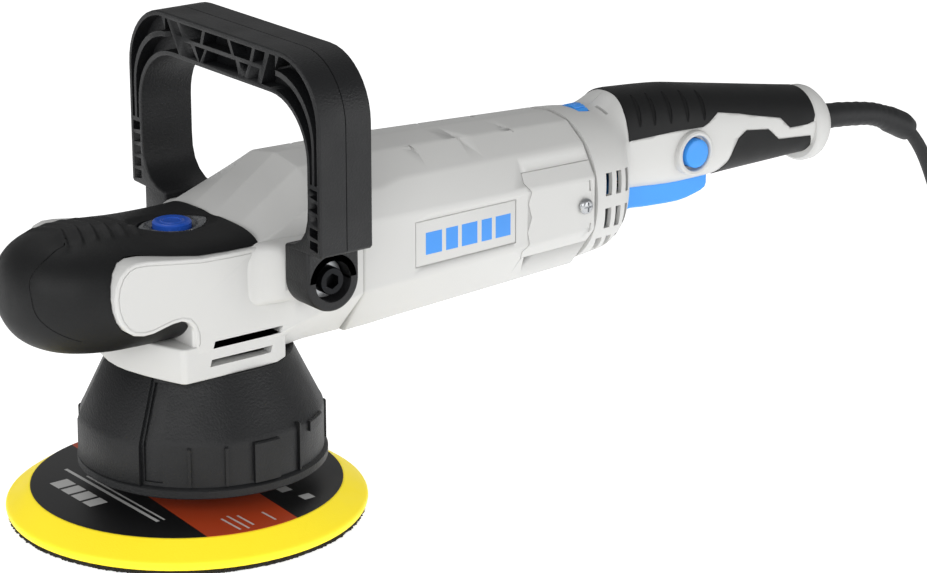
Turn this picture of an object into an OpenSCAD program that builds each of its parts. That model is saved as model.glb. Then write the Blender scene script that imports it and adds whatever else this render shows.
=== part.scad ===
// Dual action polisher with a bail handle, in millimetres.
// The origin is on the main spindle's axis at the pad's hook face. +X runs back along
// the motor to the cord, +Z is up, and the lock button is on the -Y side.

/* [Pad] */
// Diameter of the backing pad
pad_d = 150; // [140:1:160]
// Height of the pad from its hook face to its label
pad_h = 12.7; // [12.2:0.1:13.5]
// Offset of the pad's axis from the spindle, half of the orbit
throw = 7.5; // [4:0.5:7.5]
// Angle of the offset at rest, about the spindle
throw_angle = 170; // [0:5:355]

/* [Head] */
// Outer radius of the shroud
shroud_r = 50.2; // [49:0.1:52]
// Half width of the gear head
head_w = 36; // [35:0.5:38]
// Height of the armature's axis above the pad's face
motor_z = 106; // [106:0.5:107]
// Teeth on the crown gear
gear_teeth = 36; // [36:1:36]
// Teeth on the pinion
pinion_teeth = 10; // [10:1:10]

/* [Bail handle] */
// Half width of the bail over its legs
bail_w = 69.6; // [69:0.1:70.5]
// Height of the bail's crown
bail_top = 200; // [195:1:205]
// Depth of the bail's section, fore and aft
bail_depth = 25; // [22:1:28]
// Distance of the bail's pivot behind the spindle
pivot_x = 25; // [24:0.5:26]
// Height of the bail's pivot
pivot_z = 107.5; // [107:0.5:108]

/* [Motor housing] */
// Front end of the motor housing
motor_x0 = 57; // [57:1:58]
// Rear end of the motor housing
motor_x1 = 183; // [183:1:185]
// Outer radius at the front end, over the corners of its flats
motor_r0 = 40; // [39.5:0.5:40.5]
// Outer radius at the rear end
motor_r1 = 34; // [33.5:0.5:35]
// Thickness of the moulded walls
wall = 2.6; // [2.4:0.1:2.8]

/* [Rear handle] */
// Rear end of the vented drum
drum_x1 = 202; // [201:1:203]
// Radius of the grip at its front
grip_r0 = 22.8; // [22:0.2:23.6]
// Radius of the grip at its rear
grip_r1 = 15; // [14.5:0.5:15.5]
// Thickness of the soft overmould
skin = 1.5; // [1.2:0.1:1.8]

/* [Cord] */
// Diameter of the mains cord
cord_d = 6.5; // [6:0.1:7]
// Turns side by side in the stored coil
coil_columns = 3; // [3:1:3]
// Layers in the stored coil
coil_layers = 3; // [3:1:3]

/* [Hidden] */
$fn = 96;

// Running clearance of a shaft in its bore, and the slip of a seated bearing or screw
run_gap = 0.05;
seat_gap = 0.02;

// Pad and orbit
pad_r = pad_d / 2;
hook_h = 2.2;
plate_z = 6.4;
label_h = 0.35;
plate_top = pad_h - label_h;
hub_z1 = 16;
pad_x = throw * cos(throw_angle);
pad_y = throw * sin(throw_angle);
pad_shaft_r = 7.5;

// Main spindle and gears
disc_z0 = 46;
disc_z1 = 52;
spindle_r = 8.5;
spindle_top = 116.5;
gear_r = 25;
pinion_r = gear_r * pinion_teeth / gear_teeth;
add_h = 0.9;
ded_h = 1.3;
lock_x = -12;
lock_travel = 4;

// Gear head
collar_z = 69;
flange_z1 = 74;
head_front_r = 38;

// Rear handle: the grip falls towards the cord and tapers behind its front part
grip_x0 = 213;
grip_z0 = 121.1;
grip_x1 = 334;
grip_z1 = 111.3;
grip_front = 33;
grip_half = 18.5;
grip_len = norm([grip_x1 - grip_x0, grip_z1 - grip_z0]);
grip_tilt = atan2(grip_z0 - grip_z1, grip_x1 - grip_x0);
ring_x0 = 329;
ring_z = 109.2;
ring_r = 17.8;
button_x = 251;
button_z = 112.6;
button_r = 6.7;
dial_x = 197.2;
dial_z = 129;
trigger_x = 214;
trigger_z = 102;
shell_screw_places = [[219, 114], [277, 119.5], [320, 110.3]];

// Cord: it falls from the strain relief to the floor and runs to the coil
cord_r = cord_d / 2;
relief_route = [[334, 0, 109.2], [341, 0, 109.2], [355, 0, 108.8], [367, 0, 107.5],
    [378, 0, 105.8], [386, 0, 103.4], [393, 0, 100.2], [400, 0, 96.8], [405, 0, 93.6]];
relief_radii = [7.4, 6.3, 6, 5.8, 5.6, 5.7, 6.3, 6.4, 6];
cord_route = [[405, 0, 93.6], [410, 0, 88.5], [415, 0, 82], [420, 0, 73], [425, 0, 62], [430, 0, 50],
    [436, 0, 37], [443, 0, 24], [451, 0, 13], [460, 0, 6.5], [469, 0, 4], [480, 0, 3.4]];
coil_x = 502;
coil_mid_r = 36;
coil_y = -coil_mid_r - cord_d;
coil_h = coil_layers * cord_d;
plug_x = coil_x - 16;

// A cylinder along +X from [x, y, z]
module rod_x(x, y, z, r, length, r2 = -1) {
    translate([x, y, z])
        rotate([0, 90, 0])
            cylinder(h = length, r1 = r, r2 = r2 < 0 ? r : r2);
}

// A cylinder along +Y, from y to y + length
module rod_y(x, y, z, r, length) {
    translate([x, y, z])
        rotate([-90, 0, 0])
            cylinder(h = length, r = r);
}

// A ring about the Z axis
module ring_z(x, y, z, r_out, r_in, h) {
    translate([x, y, z])
        difference() {
            cylinder(h = h, r = r_out);
            translate([0, 0, -1])
                cylinder(h = h + 2, r = r_in);
        }
}

// A ring about an axis along X
module ring_x(x, z, r_out, r_in, length) {
    difference() {
        rod_x(x, 0, z, r_out, length);
        rod_x(x - 1, 0, z, r_in, length + 2);
    }
}

// A side outline in X and Z, extruded across Y
module side_slab(points, half) {
    rotate([90, 0, 0])
        linear_extrude(height = 2 * half, center = true)
            polygon(points);
}

// Its children on both sides of the tool
module both_sides() {
    children();
    mirror([0, 1, 0])
        children();
}

// Points of a ring of the swept cord, square to the route at point i
function unit(v) = v / norm(v);
function heading(route, i) =
    unit(route[min(i + 1, len(route) - 1)] - route[max(i - 1, 0)]);
function sweep_ring(route, i, r, sides) =
    let (t = heading(route, i), s = unit(cross(t, [0, 1, 0])), n = cross(t, s))
    [for (k = [0 : sides - 1])
        route[i] + r * (cos(360 * k / sides) * n + sin(360 * k / sides) * s)];

// A closed tube along a route, with its own radius at each point
module swept_tube(route, radii, sides) {
    last = len(route) - 1;
    points = [for (i = [0 : last]) each sweep_ring(route, i, radii[i], sides)];
    walls = [for (i = [0 : last - 1]) for (k = [0 : sides - 1])
        let (a = i * sides + k, b = i * sides + (k + 1) % sides)
        each [[a, b, b + sides], [a, b + sides, a + sides]]];
    start_cap = [for (k = [sides - 1 : -1 : 0]) k];
    end_cap = [for (k = [0 : sides - 1]) last * sides + k];
    polyhedron(points = points, faces = concat(walls, [start_cap, end_cap]));
}

// ---- Backing pad ----

module pad_hook_face() {
    color("#1c1c1c")
        translate([pad_x, pad_y, 0])
            cylinder(h = hook_h, r = pad_r - 1);
}

module pad_foam() {
    plate_gap = 0.3;
    color("#f4d416")
        translate([pad_x, pad_y, 0])
            difference() {
                rotate_extrude()
                    polygon([[0, hook_h], [pad_r - 1, hook_h], [pad_r - 0.3, 3.6], [pad_r, 4.7],
                        [pad_r - 0.6, 5.8], [65, plate_top], [0, plate_top]]);
                translate([0, 0, plate_z])
                    cylinder(h = pad_h, r = 60 + plate_gap);
            }
}

module pad_plate() {
    color("#2a2a2a")
        ring_z(pad_x, pad_y, plate_z, 60, 9.3, plate_top - plate_z);
}

module pad_label() {
    color("#222222")
        ring_z(pad_x, pad_y, plate_top, 64.7, 14, label_h);
}

module pad_stud() {
    color("#b8bbbf")
        translate([pad_x, pad_y, plate_z]) {
            cylinder(h = plate_top - plate_z, r = 9);
            translate([0, 0, plate_top - plate_z])
                cylinder(h = hub_z1 - plate_top, r = 9.8, $fn = 6);
            cylinder(h = 30 - plate_z, r = 4);
        }
}

module pad_spindle() {
    color("#9a9da1")
        translate([pad_x, pad_y, 0])
            difference() {
                union() {
                    translate([0, 0, hub_z1])
                        cylinder(h = 3, r = 10.5);
                    translate([0, 0, hub_z1])
                        cylinder(h = 27.4, r = pad_shaft_r);
                }
                translate([0, 0, hub_z1 - 1])
                    cylinder(h = 17, r = 4 + seat_gap);
            }
}

// ---- Eccentric, counterweight and gear on the main spindle ----

module pad_bearings() {
    color("#c4c7ca")
        for (z = [21, 33])
            ring_z(pad_x, pad_y, z, 16 - seat_gap, pad_shaft_r + run_gap, 9);
}

module eccentric() {
    color("#85888c")
        difference() {
            union() {
                translate([pad_x, pad_y, 20])
                    cylinder(h = disc_z0 - 20, r = 19);
                translate([0, 0, disc_z0])
                    cylinder(h = disc_z1 - disc_z0, r = 26.5);
                translate([0, 0, disc_z1])
                    cylinder(h = 36, r = spindle_r);
                translate([0, 0, disc_z1])
                    cylinder(h = 50, r = 7);
                translate([0, 0, disc_z1])
                    cylinder(h = spindle_top - disc_z1, r = 4);
            }
            translate([pad_x, pad_y, 19])
                cylinder(h = 25, r = 16);
            for (y = [-12, 12])
                translate([20, y, disc_z0 - 1])
                    cylinder(h = 12, r = 2.5);
        }
}

module counterweight() {
    color("#5f6266")
        difference() {
            translate([0, 0, 27])
                cylinder(h = disc_z0 - 27, r = 43);
            translate([pad_x, pad_y, 26])
                cylinder(h = 30, r = 19.4);
            translate([-60, -60, 26])
                cube([66, 120, 30]);
            for (y = [-12, 12])
                translate([20, y, 36])
                    cylinder(h = 12, r = 2.5);
        }
}

module counterweight_screws() {
    color("#3a3c3f")
        for (y = [-12, 12]) {
            translate([20, y, 37])
                cylinder(h = disc_z1 - 37, r = 2.5 - seat_gap);
            translate([20, y, disc_z1])
                cylinder(h = 1.4, r = 4.2);
        }
}

// The crown gear's teeth point up, on a cone whose tip is on the armature's axis
module crown_gear() {
    tip_z = motor_z - pinion_r + add_h;
    inner_r = 16.5;
    inner_z = motor_z - (pinion_r - add_h) * inner_r / gear_r;
    root = atan((pinion_r + ded_h) / gear_r);
    color("#8f9296")
        difference() {
            rotate_extrude()
                polygon([[7 + seat_gap, 88], [19, 88], [25.4, 93], [25.4, tip_z - 0.1],
                    [gear_r, tip_z], [inner_r, inner_z], [15.5, 99.8], [7 + seat_gap, 99.8]]);
            for (k = [0 : gear_teeth - 1])
                translate([0, 0, motor_z])
                    rotate([0, root, k * 360 / gear_teeth])
                        linear_extrude(height = 9)
                            polygon([[12, 0.75], [30, 1.9], [30, -1.9], [12, -0.75]]);
            for (k = [0 : 7])
                rotate([0, 0, k * 45])
                    translate([lock_x, 0, 95])
                        cylinder(h = 9, r = 2.5);
        }
}

module pinion() {
    tip = (pinion_r + add_h) / gear_r;
    root = atan((pinion_r - ded_h) / gear_r);
    x0 = 17;
    x1 = 26;
    color("#a3a6aa")
        difference() {
            union() {
                rod_x(x0, 0, motor_z, x0 * tip, x1 - x0, x1 * tip);
                rod_x(x1, 0, motor_z, 6.5, 6);
            }
            rod_x(x0 - 1, 0, motor_z, 3 + seat_gap, 20);
            for (k = [0 : pinion_teeth - 1])
                for (side = [-5, 5])
                    translate([0, 0, motor_z])
                        rotate([(k + 0.5) * 360 / pinion_teeth + side, 0, 0])
                            rotate([0, -root, 0])
                                linear_extrude(height = 6)
                                    polygon([[10, 0.5], [x1 + 0.5, 1.25], [x1 + 0.5, -1.25],
                                        [10, -0.5]]);
        }
}

// ---- Gear head ----

module lower_spindle_bearing() {
    color("#c4c7ca")
        ring_z(0, 0, 56, 20 - seat_gap, spindle_r + run_gap, 12);
}

module upper_spindle_bearing() {
    color("#c4c7ca")
        ring_z(0, 0, 111, 8 - seat_gap, 4 + run_gap, 5);
}

module gear_flange() {
    color("#aeb1b4")
        difference() {
            union() {
                translate([0, 0, 54])
                    cylinder(h = flange_z1 - 54, r = 23.5);
                translate([0, 0, collar_z])
                    cylinder(h = flange_z1 - collar_z, r = 34);
            }
            translate([0, 0, 50])
                cylinder(h = 40, r = spindle_r + 1.5);
            translate([0, 0, 56])
                cylinder(h = 12, r = 20);
            translate([0, 0, 50])
                cylinder(h = 6.1, r = 19);
            for (k = [0 : 3])
                rotate([0, 0, 45 + 90 * k])
                    translate([29, 0, 60])
                        cylinder(h = 30, r = 2.2);
        }
}

module flange_screws() {
    color("#3a3c3f")
        for (k = [0 : 3])
            rotate([0, 0, 45 + 90 * k])
                translate([29, 0, 0]) {
                    translate([0, 0, 63])
                        cylinder(h = 3, r = 3.6);
                    translate([0, 0, 66])
                        cylinder(h = 17, r = 2);
                }
}

module shroud() {
    skirt_z0 = 22;
    skirt_z1 = 45;
    color("#26282a")
        difference() {
            union() {
                rotate_extrude()
                    polygon([[0, skirt_z0], [shroud_r + 0.8, skirt_z0], [shroud_r + 0.8, 26],
                        [shroud_r - 0.4, 27], [shroud_r - 0.4, skirt_z1], [head_front_r, collar_z],
                        [0, collar_z]]);
                for (a = [-142, -118, -96, -62, -30, 20, 60, 100, 140])
                    rotate([0, 0, a])
                        translate([shroud_r - 2, -0.8, 26])
                            cube([2.6, 1.6, 17]);
            }
            rotate_extrude()
                polygon([[0, 20], [shroud_r - 3, 20], [shroud_r - 3, skirt_z1 - 1],
                    [head_front_r - 3, 66], [0, 66]]);
            translate([0, 0, 60])
                cylinder(h = 12, r = 23.8);
            for (k = [0 : 3])
                rotate([0, 0, 45 + 90 * k])
                    translate([29, 0, 64])
                        cylinder(h = 10, r = 2.2);
        }
}

// Side outline of the grey head: collar, core of the nose, neck that rises to the motor
head_side = [[-41, collar_z], [-41, 83.5], [-26, 87], [-26, 121.5], [8, 121.5], [8, 124],
    [37, 145.5], [motor_x0, 145.5], [motor_x0, 68], [39, collar_z]];
head_section = [[-16, 68], [-head_w, 86], [-head_w, 124], [-17, 143], [0, 145.5], [17, 143],
    [head_w, 124], [head_w, 86], [16, 68]];
collar_plan = [[-40.5, 0], [-40, 7], [-37.5, 17.5], [-34, 28], [-31, 34.5], [-28, head_w],
    [7, head_w], [20, 32.5], [25, 20], [25, 0]];
nose_panel = [[-61, 108], [-60.5, 115], [-56.5, 122], [-50, 123.5], [-20, 120], [4, 119.6],
    [4, 92], [-25, 86], [-25.5, 92], [-28, 94.5], [-31, 95.6], [-45, 93.6], [-52, 93.8],
    [-57, 97]];

module gear_head() {
    color("#d6d6d4")
        difference() {
            union() {
                intersection() {
                    side_slab(head_side, 40);
                    union() {
                        both_sides()
                            translate([0, 0, 60])
                                linear_extrude(height = 70)
                                    polygon(collar_plan);
                        translate([-22, 0, 0])
                            rotate([90, 0, 90])
                                linear_extrude(height = 90)
                                    polygon(head_section);
                    }
                    translate([-60, -head_w, 60])
                        cube([130, 2 * head_w, 90]);
                }
                side_slab(nose_panel, 34);
                both_sides()
                    rod_y(pivot_x, 30, pivot_z, 13, 13.7);
            }
            translate([0, 0, 68])
                cylinder(h = flange_z1 - 68, r = 34.3);
            translate([0, 0, 68])
                cylinder(h = 40.5, r = 29.5);
            rod_x(0, 0, motor_z, 10.5, 36);
            rod_x(31, 0, motor_z, 17.3, 20);
            rod_x(47.9, 0, motor_z, 34.8, 12);
            translate([0, 0, 108])
                cylinder(h = 9.5, r = 8);
            translate([lock_x, 0, 100])
                cylinder(h = 30, r = 2.3);
            translate([lock_x, 0, 117.6])
                cylinder(h = 10, r = 8.4);
            for (k = [0 : 3])
                rotate([0, 0, 45 + 90 * k])
                    translate([29, 0, 70])
                        cylinder(h = 14, r = 2);
            both_sides()
                rod_y(pivot_x, 26, pivot_z, 4, 20);
            both_sides()
                for (slot = [[-18, 12, 75.7], [-16.5, 17, 83]])
                    translate([slot[0], head_w - 5, slot[2] - 1.25])
                        cube([slot[1] - slot[0], 8, 2.5]);
            translate([-56, -27, 90])
                cube([32, 54, 27]);
        }
}

// Soft black cover of the nose, round the core of the head
module head_grip() {
    color("#1f2022")
        difference() {
            intersection() {
                hull() {
                    for (y = [-9, 9])
                        translate([-58, y, 106.5])
                            sphere(r = 25.5, $fn = 32);
                    translate([-65, 0, 107])
                        sphere(r = 24, $fn = 32);
                    for (y = [-10, 10])
                        translate([-18, y, 107])
                            sphere(r = 25.5, $fn = 32);
                }
                translate([-100, -40, 79])
                    cube([107.7, 80, 60]);
            }
            side_slab(nose_panel, 45);
            side_slab([[-41.2, 60], [-41.2, 83.7], [-26.2, 87.2], [-26.2, 121.5], [40, 121.5],
                [40, 60]], 45);
            translate([lock_x, 0, 115])
                cylinder(h = 30, r = 12.2);
            translate([-72, -17, 92])
                cube([40, 34, 27]);
        }
}

module lock_bezel() {
    color("#c9c9c7")
        ring_z(lock_x, 0, 121.5, 12, 8.5, 3.4);
}

module spindle_lock_button() {
    color("#2f86e0")
        translate([lock_x, 0, 0]) {
            translate([0, 0, 121.8])
                cylinder(h = 3.8, r = 8);
            translate([0, 0, 101.5])
                cylinder(h = 20.5, r = 2.1);
        }
}

module lock_spring() {
    color("#b8bbbf")
        ring_z(lock_x, 0, 117.6, 5, 3.4, 4.2);
}

module bearing_plate() {
    color("#aeb1b4")
        difference() {
            union() {
                rod_x(48, 0, motor_z, 34.6, 7);
                rod_x(32.4, 0, motor_z, 17, 16);
            }
            rod_x(30, 0, motor_z, 7.5, 40);
            rod_x(33, 0, motor_z, 13, 10);
            rod_x(31, 0, motor_z, 11.5, 4);
            for (a = [30 : 60 : 330])
                translate([40, 0, motor_z])
                    rotate([a, 0, 0])
                        translate([6, 0, 25])
                            rotate([0, 90, 0])
                                cylinder(h = 12, r = 4);
        }
}

// ---- Bail handle ----

// Outline of a loop that stands on z = 0, with round upper corners
module bail_frame(half, top, corner) {
    translate([-half, 0])
        square([2 * half, top - corner]);
    translate([-half + corner, top - corner])
        square([2 * (half - corner), corner]);
    for (s = [-1, 1])
        translate([s * (half - corner), top - corner])
            circle(r = corner);
}

module bail_handle() {
    leg = 9.2;
    bar = 18;
    shoulder_z = 121.5;
    front_x = pivot_x - bail_depth / 2;
    color("#232527")
        difference() {
            union() {
                translate([front_x, 0, 0])
                    rotate([90, 0, 90])
                        linear_extrude(height = bail_depth)
                            difference() {
                                translate([0, shoulder_z])
                                    bail_frame(bail_w, bail_top - shoulder_z, 27);
                                translate([0, shoulder_z - 1])
                                    bail_frame(bail_w - leg, bail_top - bar - shoulder_z + 1, 14);
                            }
                both_sides() {
                    translate([front_x, 44, shoulder_z - 2])
                        cube([bail_depth, bail_w - 44 - 1, 8]);
                    translate([front_x, 44, pivot_z])
                        cube([bail_depth, 16, shoulder_z - pivot_z + 2]);
                    rod_y(pivot_x, 44, pivot_z, bail_depth / 2, 16);
                }
            }
            both_sides() {
                rod_y(pivot_x, 40, pivot_z, 4 + run_gap, 30);
                rod_y(pivot_x, 52, pivot_z, 8.6, 30);
            }
            for (y = [-40 : 16 : 40])
                translate([front_x - 1, y - 6, bail_top - bar + 3.5])
                    cube([4, 12, bar - 7]);
            both_sides()
                for (k = [0 : 3])
                    translate([front_x - 1, bail_w - leg + 2.2, 128 + 10 * k])
                        cube([4, leg - 4.4, 8]);
        }
}

module bail_bolts() {
    color("#17181a")
        both_sides()
            difference() {
                union() {
                    rod_y(pivot_x, 28, pivot_z, 4 - seat_gap, 26);
                    rod_y(pivot_x, 53.7, pivot_z, 5.6, 5.6);
                }
                translate([pivot_x, 55.5, pivot_z])
                    rotate([-90, 0, 0])
                        cylinder(h = 8, r = 3.4, $fn = 6);
            }
}

module bail_washers() {
    color("#8b8e92")
        both_sides()
            difference() {
                rod_y(pivot_x, 52.1, pivot_z, 8.1, 1.6);
                rod_y(pivot_x, 50, pivot_z, 4.2, 5);
            }
}

// ---- Motor ----

module armature_shaft() {
    color("#9a9da1") {
        rod_x(17.5, 0, motor_z, 3, 15);
        rod_x(32, 0, motor_z, 5, 132);
        rod_x(164, 0, motor_z, 4, 14.6);
    }
}

module armature_core() {
    color("#6d7074")
        difference() {
            rod_x(84, 0, motor_z, 21.5, 52);
            rod_x(83, 0, motor_z, 5 + seat_gap, 54);
            for (k = [0 : 11])
                translate([83, 0, motor_z])
                    rotate([30 * k, 0, 0])
                        translate([0, -1.5, 13])
                            cube([54, 3, 12]);
        }
}

module armature_windings() {
    color("#a8571f") {
        ring_x(76, motor_z, 19, 8, 7.8);
        ring_x(136.2, motor_z, 19, 8, 7.8);
        for (k = [0 : 11])
            translate([83.5, 0, motor_z])
                rotate([30 * k, 0, 0])
                    translate([0, -1.3, 13.3])
                        cube([53, 2.6, 5]);
    }
}

module commutator() {
    color("#b87333")
        difference() {
            ring_x(147, motor_z, 12, 5 + seat_gap, 16);
            for (k = [0 : 23])
                translate([146, 0, motor_z])
                    rotate([15 * k, 0, 0])
                        translate([0, -0.3, 11.2])
                            cube([18, 0.6, 2]);
        }
}

module cooling_fan() {
    color("#33363a")
        difference() {
            union() {
                rod_x(59, 0, motor_z, 27, 2);
                rod_x(59, 0, motor_z, 9, 12);
                for (k = [0 : 10])
                    translate([61, 0, motor_z])
                        rotate([k * 360 / 11, 0, 0])
                            translate([0, -0.7, 8])
                                cube([8, 1.4, 18]);
            }
            rod_x(58, 0, motor_z, 5 + seat_gap, 20);
        }
}

module front_bearing() {
    color("#c4c7ca")
        ring_x(33.4, motor_z, 13 - seat_gap, 5 + run_gap, 9);
}

module rear_bearing() {
    color("#c4c7ca")
        ring_x(170, motor_z, 11 - seat_gap, 4 + run_gap, 7);
}

module stator_core() {
    color("#5a5d61")
        difference() {
            rod_x(86, 0, motor_z, 31, 48);
            rod_x(85, 0, motor_z, 22.4, 50);
            for (a = [0, 180])
                translate([85, 0, motor_z])
                    rotate([a, 0, 0])
                        translate([0, -28, -9])
                            cube([50, 8, 18]);
        }
}

module field_coils() {
    color("#a8571f")
        for (a = [0, 180])
            translate([0, 0, motor_z])
                rotate([a, 0, 0])
                    for (x = [78, 134.2])
                        intersection() {
                            ring_x(x, 0, 30, 23.5, 7.8);
                            translate([x - 1, -24, 12])
                                cube([10, 48, 20]);
                        }
}

module air_baffle() {
    color("#2d2f32")
        intersection() {
            ring_x(73, motor_z, 40, 22, 2);
            housing_form(wall + seat_gap);
        }
}

module brush_holders() {
    color("#b08d3c")
        both_sides()
            difference() {
                translate([150, 13, motor_z - 5.5])
                    cube([12, 17, 11]);
                translate([152, 12, motor_z - 3.6])
                    cube([8, 19, 7.2]);
            }
}

module carbon_brushes() {
    color("#303234")
        both_sides()
            translate([152.1, 12.4, motor_z - 3.5])
                cube([7.8, 12, 7]);
}

module brush_springs() {
    color("#b8bbbf")
        both_sides()
            difference() {
                rod_y(156, 24.4, motor_z, 3, 5.4);
                rod_y(156, 24, motor_z, 2.2, 6);
            }
}

// ---- Motor housing and what is on it ----

cover_x0 = 144;
cover_x1 = 181;
cover_z0 = 85.5;
cover_z1 = 124.5;
cover_h = 2.2;
badge_x0 = 84;
badge_x1 = 138;

// The tapered housing with its flats; inset is how far the surface lies inside the outer one
module housing_form(inset) {
    flat = 35.6;
    crown = 37.6;
    intersection() {
        rod_x(motor_x0, 0, motor_z, motor_r0 - inset, motor_x1 - motor_x0, motor_r1 - inset);
        translate([motor_x0 - 1, -flat + inset, motor_z - crown + inset])
            cube([motor_x1 - motor_x0 + 2, 2 * (flat - inset), 2 * (crown - inset)]);
    }
}

// Radius of the middle of the housing's wall at x
function housing_mid_r(x) =
    motor_r0 - wall / 2 - (x - motor_x0) * (motor_r0 - motor_r1) / (motor_x1 - motor_x0);

// Bearing seat at the rear, on four spokes, and ribs that hold the stator
module housing_inside() {
    ring_x(169, motor_z, 14, 11, 9);
    for (a = [45 : 90 : 315])
        translate([0, 0, motor_z])
            rotate([a, 0, 0]) {
                translate([168, -2, 12])
                    cube([10, 4, housing_mid_r(173) - 12]);
                for (x = [92, 124])
                    translate([x, -4, 31.1])
                        cube([3, 8, housing_mid_r(x) - 31.1]);
            }
    both_sides()
        rod_y(176, 22, 105, 3.5, 11.2);
}

module motor_housing() {
    color("#d6d6d4")
        difference() {
            union() {
                difference() {
                    housing_form(0);
                    intersection() {
                        housing_form(wall);
                        translate([motor_x0 - 1, -50, 50])
                            cube([motor_x1 - motor_x0 - 3, 100, 120]);
                    }
                }
                housing_inside();
            }
            rod_x(175, 0, motor_z, 8, 12);
            for (a = [45 : 90 : 315])
                translate([175, 0, motor_z])
                    rotate([a, 0, 0])
                        translate([0, 0, 21])
                            rotate([0, 90, 0])
                                cylinder(h = 12, r = 6);
            side_recess(cover_x0, cover_x1, cover_z0, cover_z1, cover_h);
            side_recess(badge_x0, badge_x1, 95, 115, 0.8);
            both_sides() {
                translate([148, 25, motor_z - 8])
                    cube([18, 12, 16]);
                rod_y(176, 23, 105, 1.5, 12);
            }
        }
}

// Shallow recess of the stated depth in both sides of the housing
module side_recess(x0, x1, z0, z1, depth) {
    difference() {
        both_sides()
            translate([x0, 20, z0])
                cube([x1 - x0, 30, z1 - z0]);
        housing_form(depth);
    }
}

module badge_plates() {
    color("#dcdcda")
        both_sides()
            translate([badge_x0 + 0.4, 34.8, 95.4])
                cube([badge_x1 - badge_x0 - 0.8, 0.5, 19.2]);
}

module brush_covers() {
    color("#d6d6d4")
        difference() {
            intersection() {
                housing_form(0);
                both_sides()
                    translate([cover_x0 + 0.2, 20, cover_z0 + 0.2])
                        cube([cover_x1 - cover_x0 - 0.4, 30, cover_z1 - cover_z0 - 0.4]);
            }
            housing_form(cover_h);
            both_sides()
                rod_y(176, 30, 105, 1.7, 10);
        }
}

module cover_screws() {
    color("#c4c7ca")
        both_sides() {
            rod_y(176, 24, 105, 1.5 - seat_gap, 10.6);
            rod_y(176, 34.6, 105, 3.5, 1.6);
        }
}

// ---- Rear handle ----

// The grip's body with flat sides, grown by a distance
module grip_cone(grow) {
    intersection() {
        translate([grip_x0, 0, grip_z0])
            rotate([0, 90 + grip_tilt, 0])
                rotate_extrude()
                    polygon([[0, 0], [grip_r0 + grow, 0], [grip_r0 + grow, grip_front],
                        [grip_r1 + grow, grip_len], [0, grip_len]]);
        translate([200, -grip_half - grow, 80])
            cube([150, 2 * (grip_half + grow), 80]);
    }
}

// Drum, shoulder and end ring; inset is how far the surface lies inside the outer one
module rear_form(inset) {
    rod_x(motor_x1, 0, motor_z, motor_r1 - inset, drum_x1 - motor_x1, 32 - inset);
    hull() {
        rod_x(drum_x1 - 1, 0, motor_z, 32 - inset, 1, $fn = 32);
        rod_x(grip_x0, 0, grip_z0, grip_half - skin - inset, 1.5, $fn = 32);
    }
    grip_cone(-skin - inset);
}

// Side outlines of the two soft areas of the grip
top_area = [[217, 150], [216, 143], [213.5, 131], [213.5, 124], [240, 123.8], [260, 123.3],
    [266, 128], [281, 125], [288, 123.2], [305, 119], [312, 113.2], [323, 113], [329, 114],
    [332, 118], [332, 150]];
insert_area = [[270, 92], [272, 98], [275, 103], [277.5, 110], [280, 114.5], [284, 117], [298, 115],
    [305, 109], [320, 107.5], [327, 106.5], [330, 101], [330, 90], [270, 90]];

module grip_skin(area) {
    intersection() {
        difference() {
            grip_cone(0);
            grip_cone(-skin);
        }
        side_slab(area, 40);
        translate([200, -40, 60])
            cube([ring_x0 - 200, 80, 100]);
    }
}

// Opening in the underside for the trigger
module trigger_slot() {
    translate([207, -7.8, 78])
        cube([66, 15.6, 34]);
}

// Where a shell screw's head sits, a little under the grip's surface
function shell_head_y(x) = x > 300 ? 11.5 : 14;

module rear_shell(side) {
    difference() {
        union() {
            difference() {
                rear_form(0);
                difference() {
                    rear_form(wall);
                    translate([motor_x1 - 1, -2.5, 120])
                        cube([5, 5, 20]);
                }
            }
            difference() {
                grip_cone(0);
                grip_cone(-skin);
                side_slab(top_area, 40);
                side_slab(insert_area, 40);
            }
            rod_x(ring_x0, 0, ring_z, ring_r, 6.5);
            rod_x(ring_x0 + 6.5, 0, ring_z, ring_r, 5.5, 14);
            intersection() {
                rear_form(0.4);
                union() {
                    for (p = shell_screw_places)
                        rod_y(p[0], -30, p[1], 4.5, 60);
                    both_sides()
                        rod_y(trigger_x, 10, trigger_z, 3.5, 20);
                }
            }
            rod_y(button_x, -20.4, button_z, 10, 5);
        }
        translate([150, side > 0 ? -60 : 0, 60])
            cube([220, 60, 100]);
        rod_x(motor_x1 - 1, 0, motor_z, 26, 5);
        rod_x(ring_x0, 0, ring_z, 7.7, 40);
        rod_x(ring_x0, 0, ring_z, 12, 5);
        trigger_slot();
        rod_y(trigger_x, -14, trigger_z, 2, 28);
        rod_y(button_x, -30, button_z, button_r + 0.3, 20);
        translate([dial_x - 3.5, -10, dial_z - 12])
            cube([7, 20, 30]);
        for (p = shell_screw_places) {
            rod_y(p[0], -12, p[1], 1.2, 40);
            rod_y(p[0], shell_head_y(p[0]), p[1], 3.1, 20);
        }
        for (row = [82, 97, 112])
            for (column = [190, 196.3, 202.4])
                translate([column - 1.6, side > 0 ? 20 : -50, row - 4.7])
                    cube([3.2, 30, 9.4]);
    }
}

module rear_shell_left() {
    color("#d6d6d4")
        rear_shell(-1);
}

module rear_shell_right() {
    color("#d6d6d4")
        rear_shell(1);
}

module grip_top() {
    color("#1f2022")
        grip_skin(top_area);
}

module grip_insert() {
    color("#1f2022")
        difference() {
            grip_skin(insert_area);
            trigger_slot();
        }
}

module trigger() {
    color("#3f97ea")
        difference() {
            union() {
                side_slab([[209, 88], [225, 88.4], [239, 87.3], [253, 86.8], [262, 88.1], [270, 90.2],
                    [270, 103], [214, 105], [209, 103]], 7.4);
            }
            rod_y(trigger_x, -10, trigger_z, 2 + run_gap, 20);
        }
}

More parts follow.
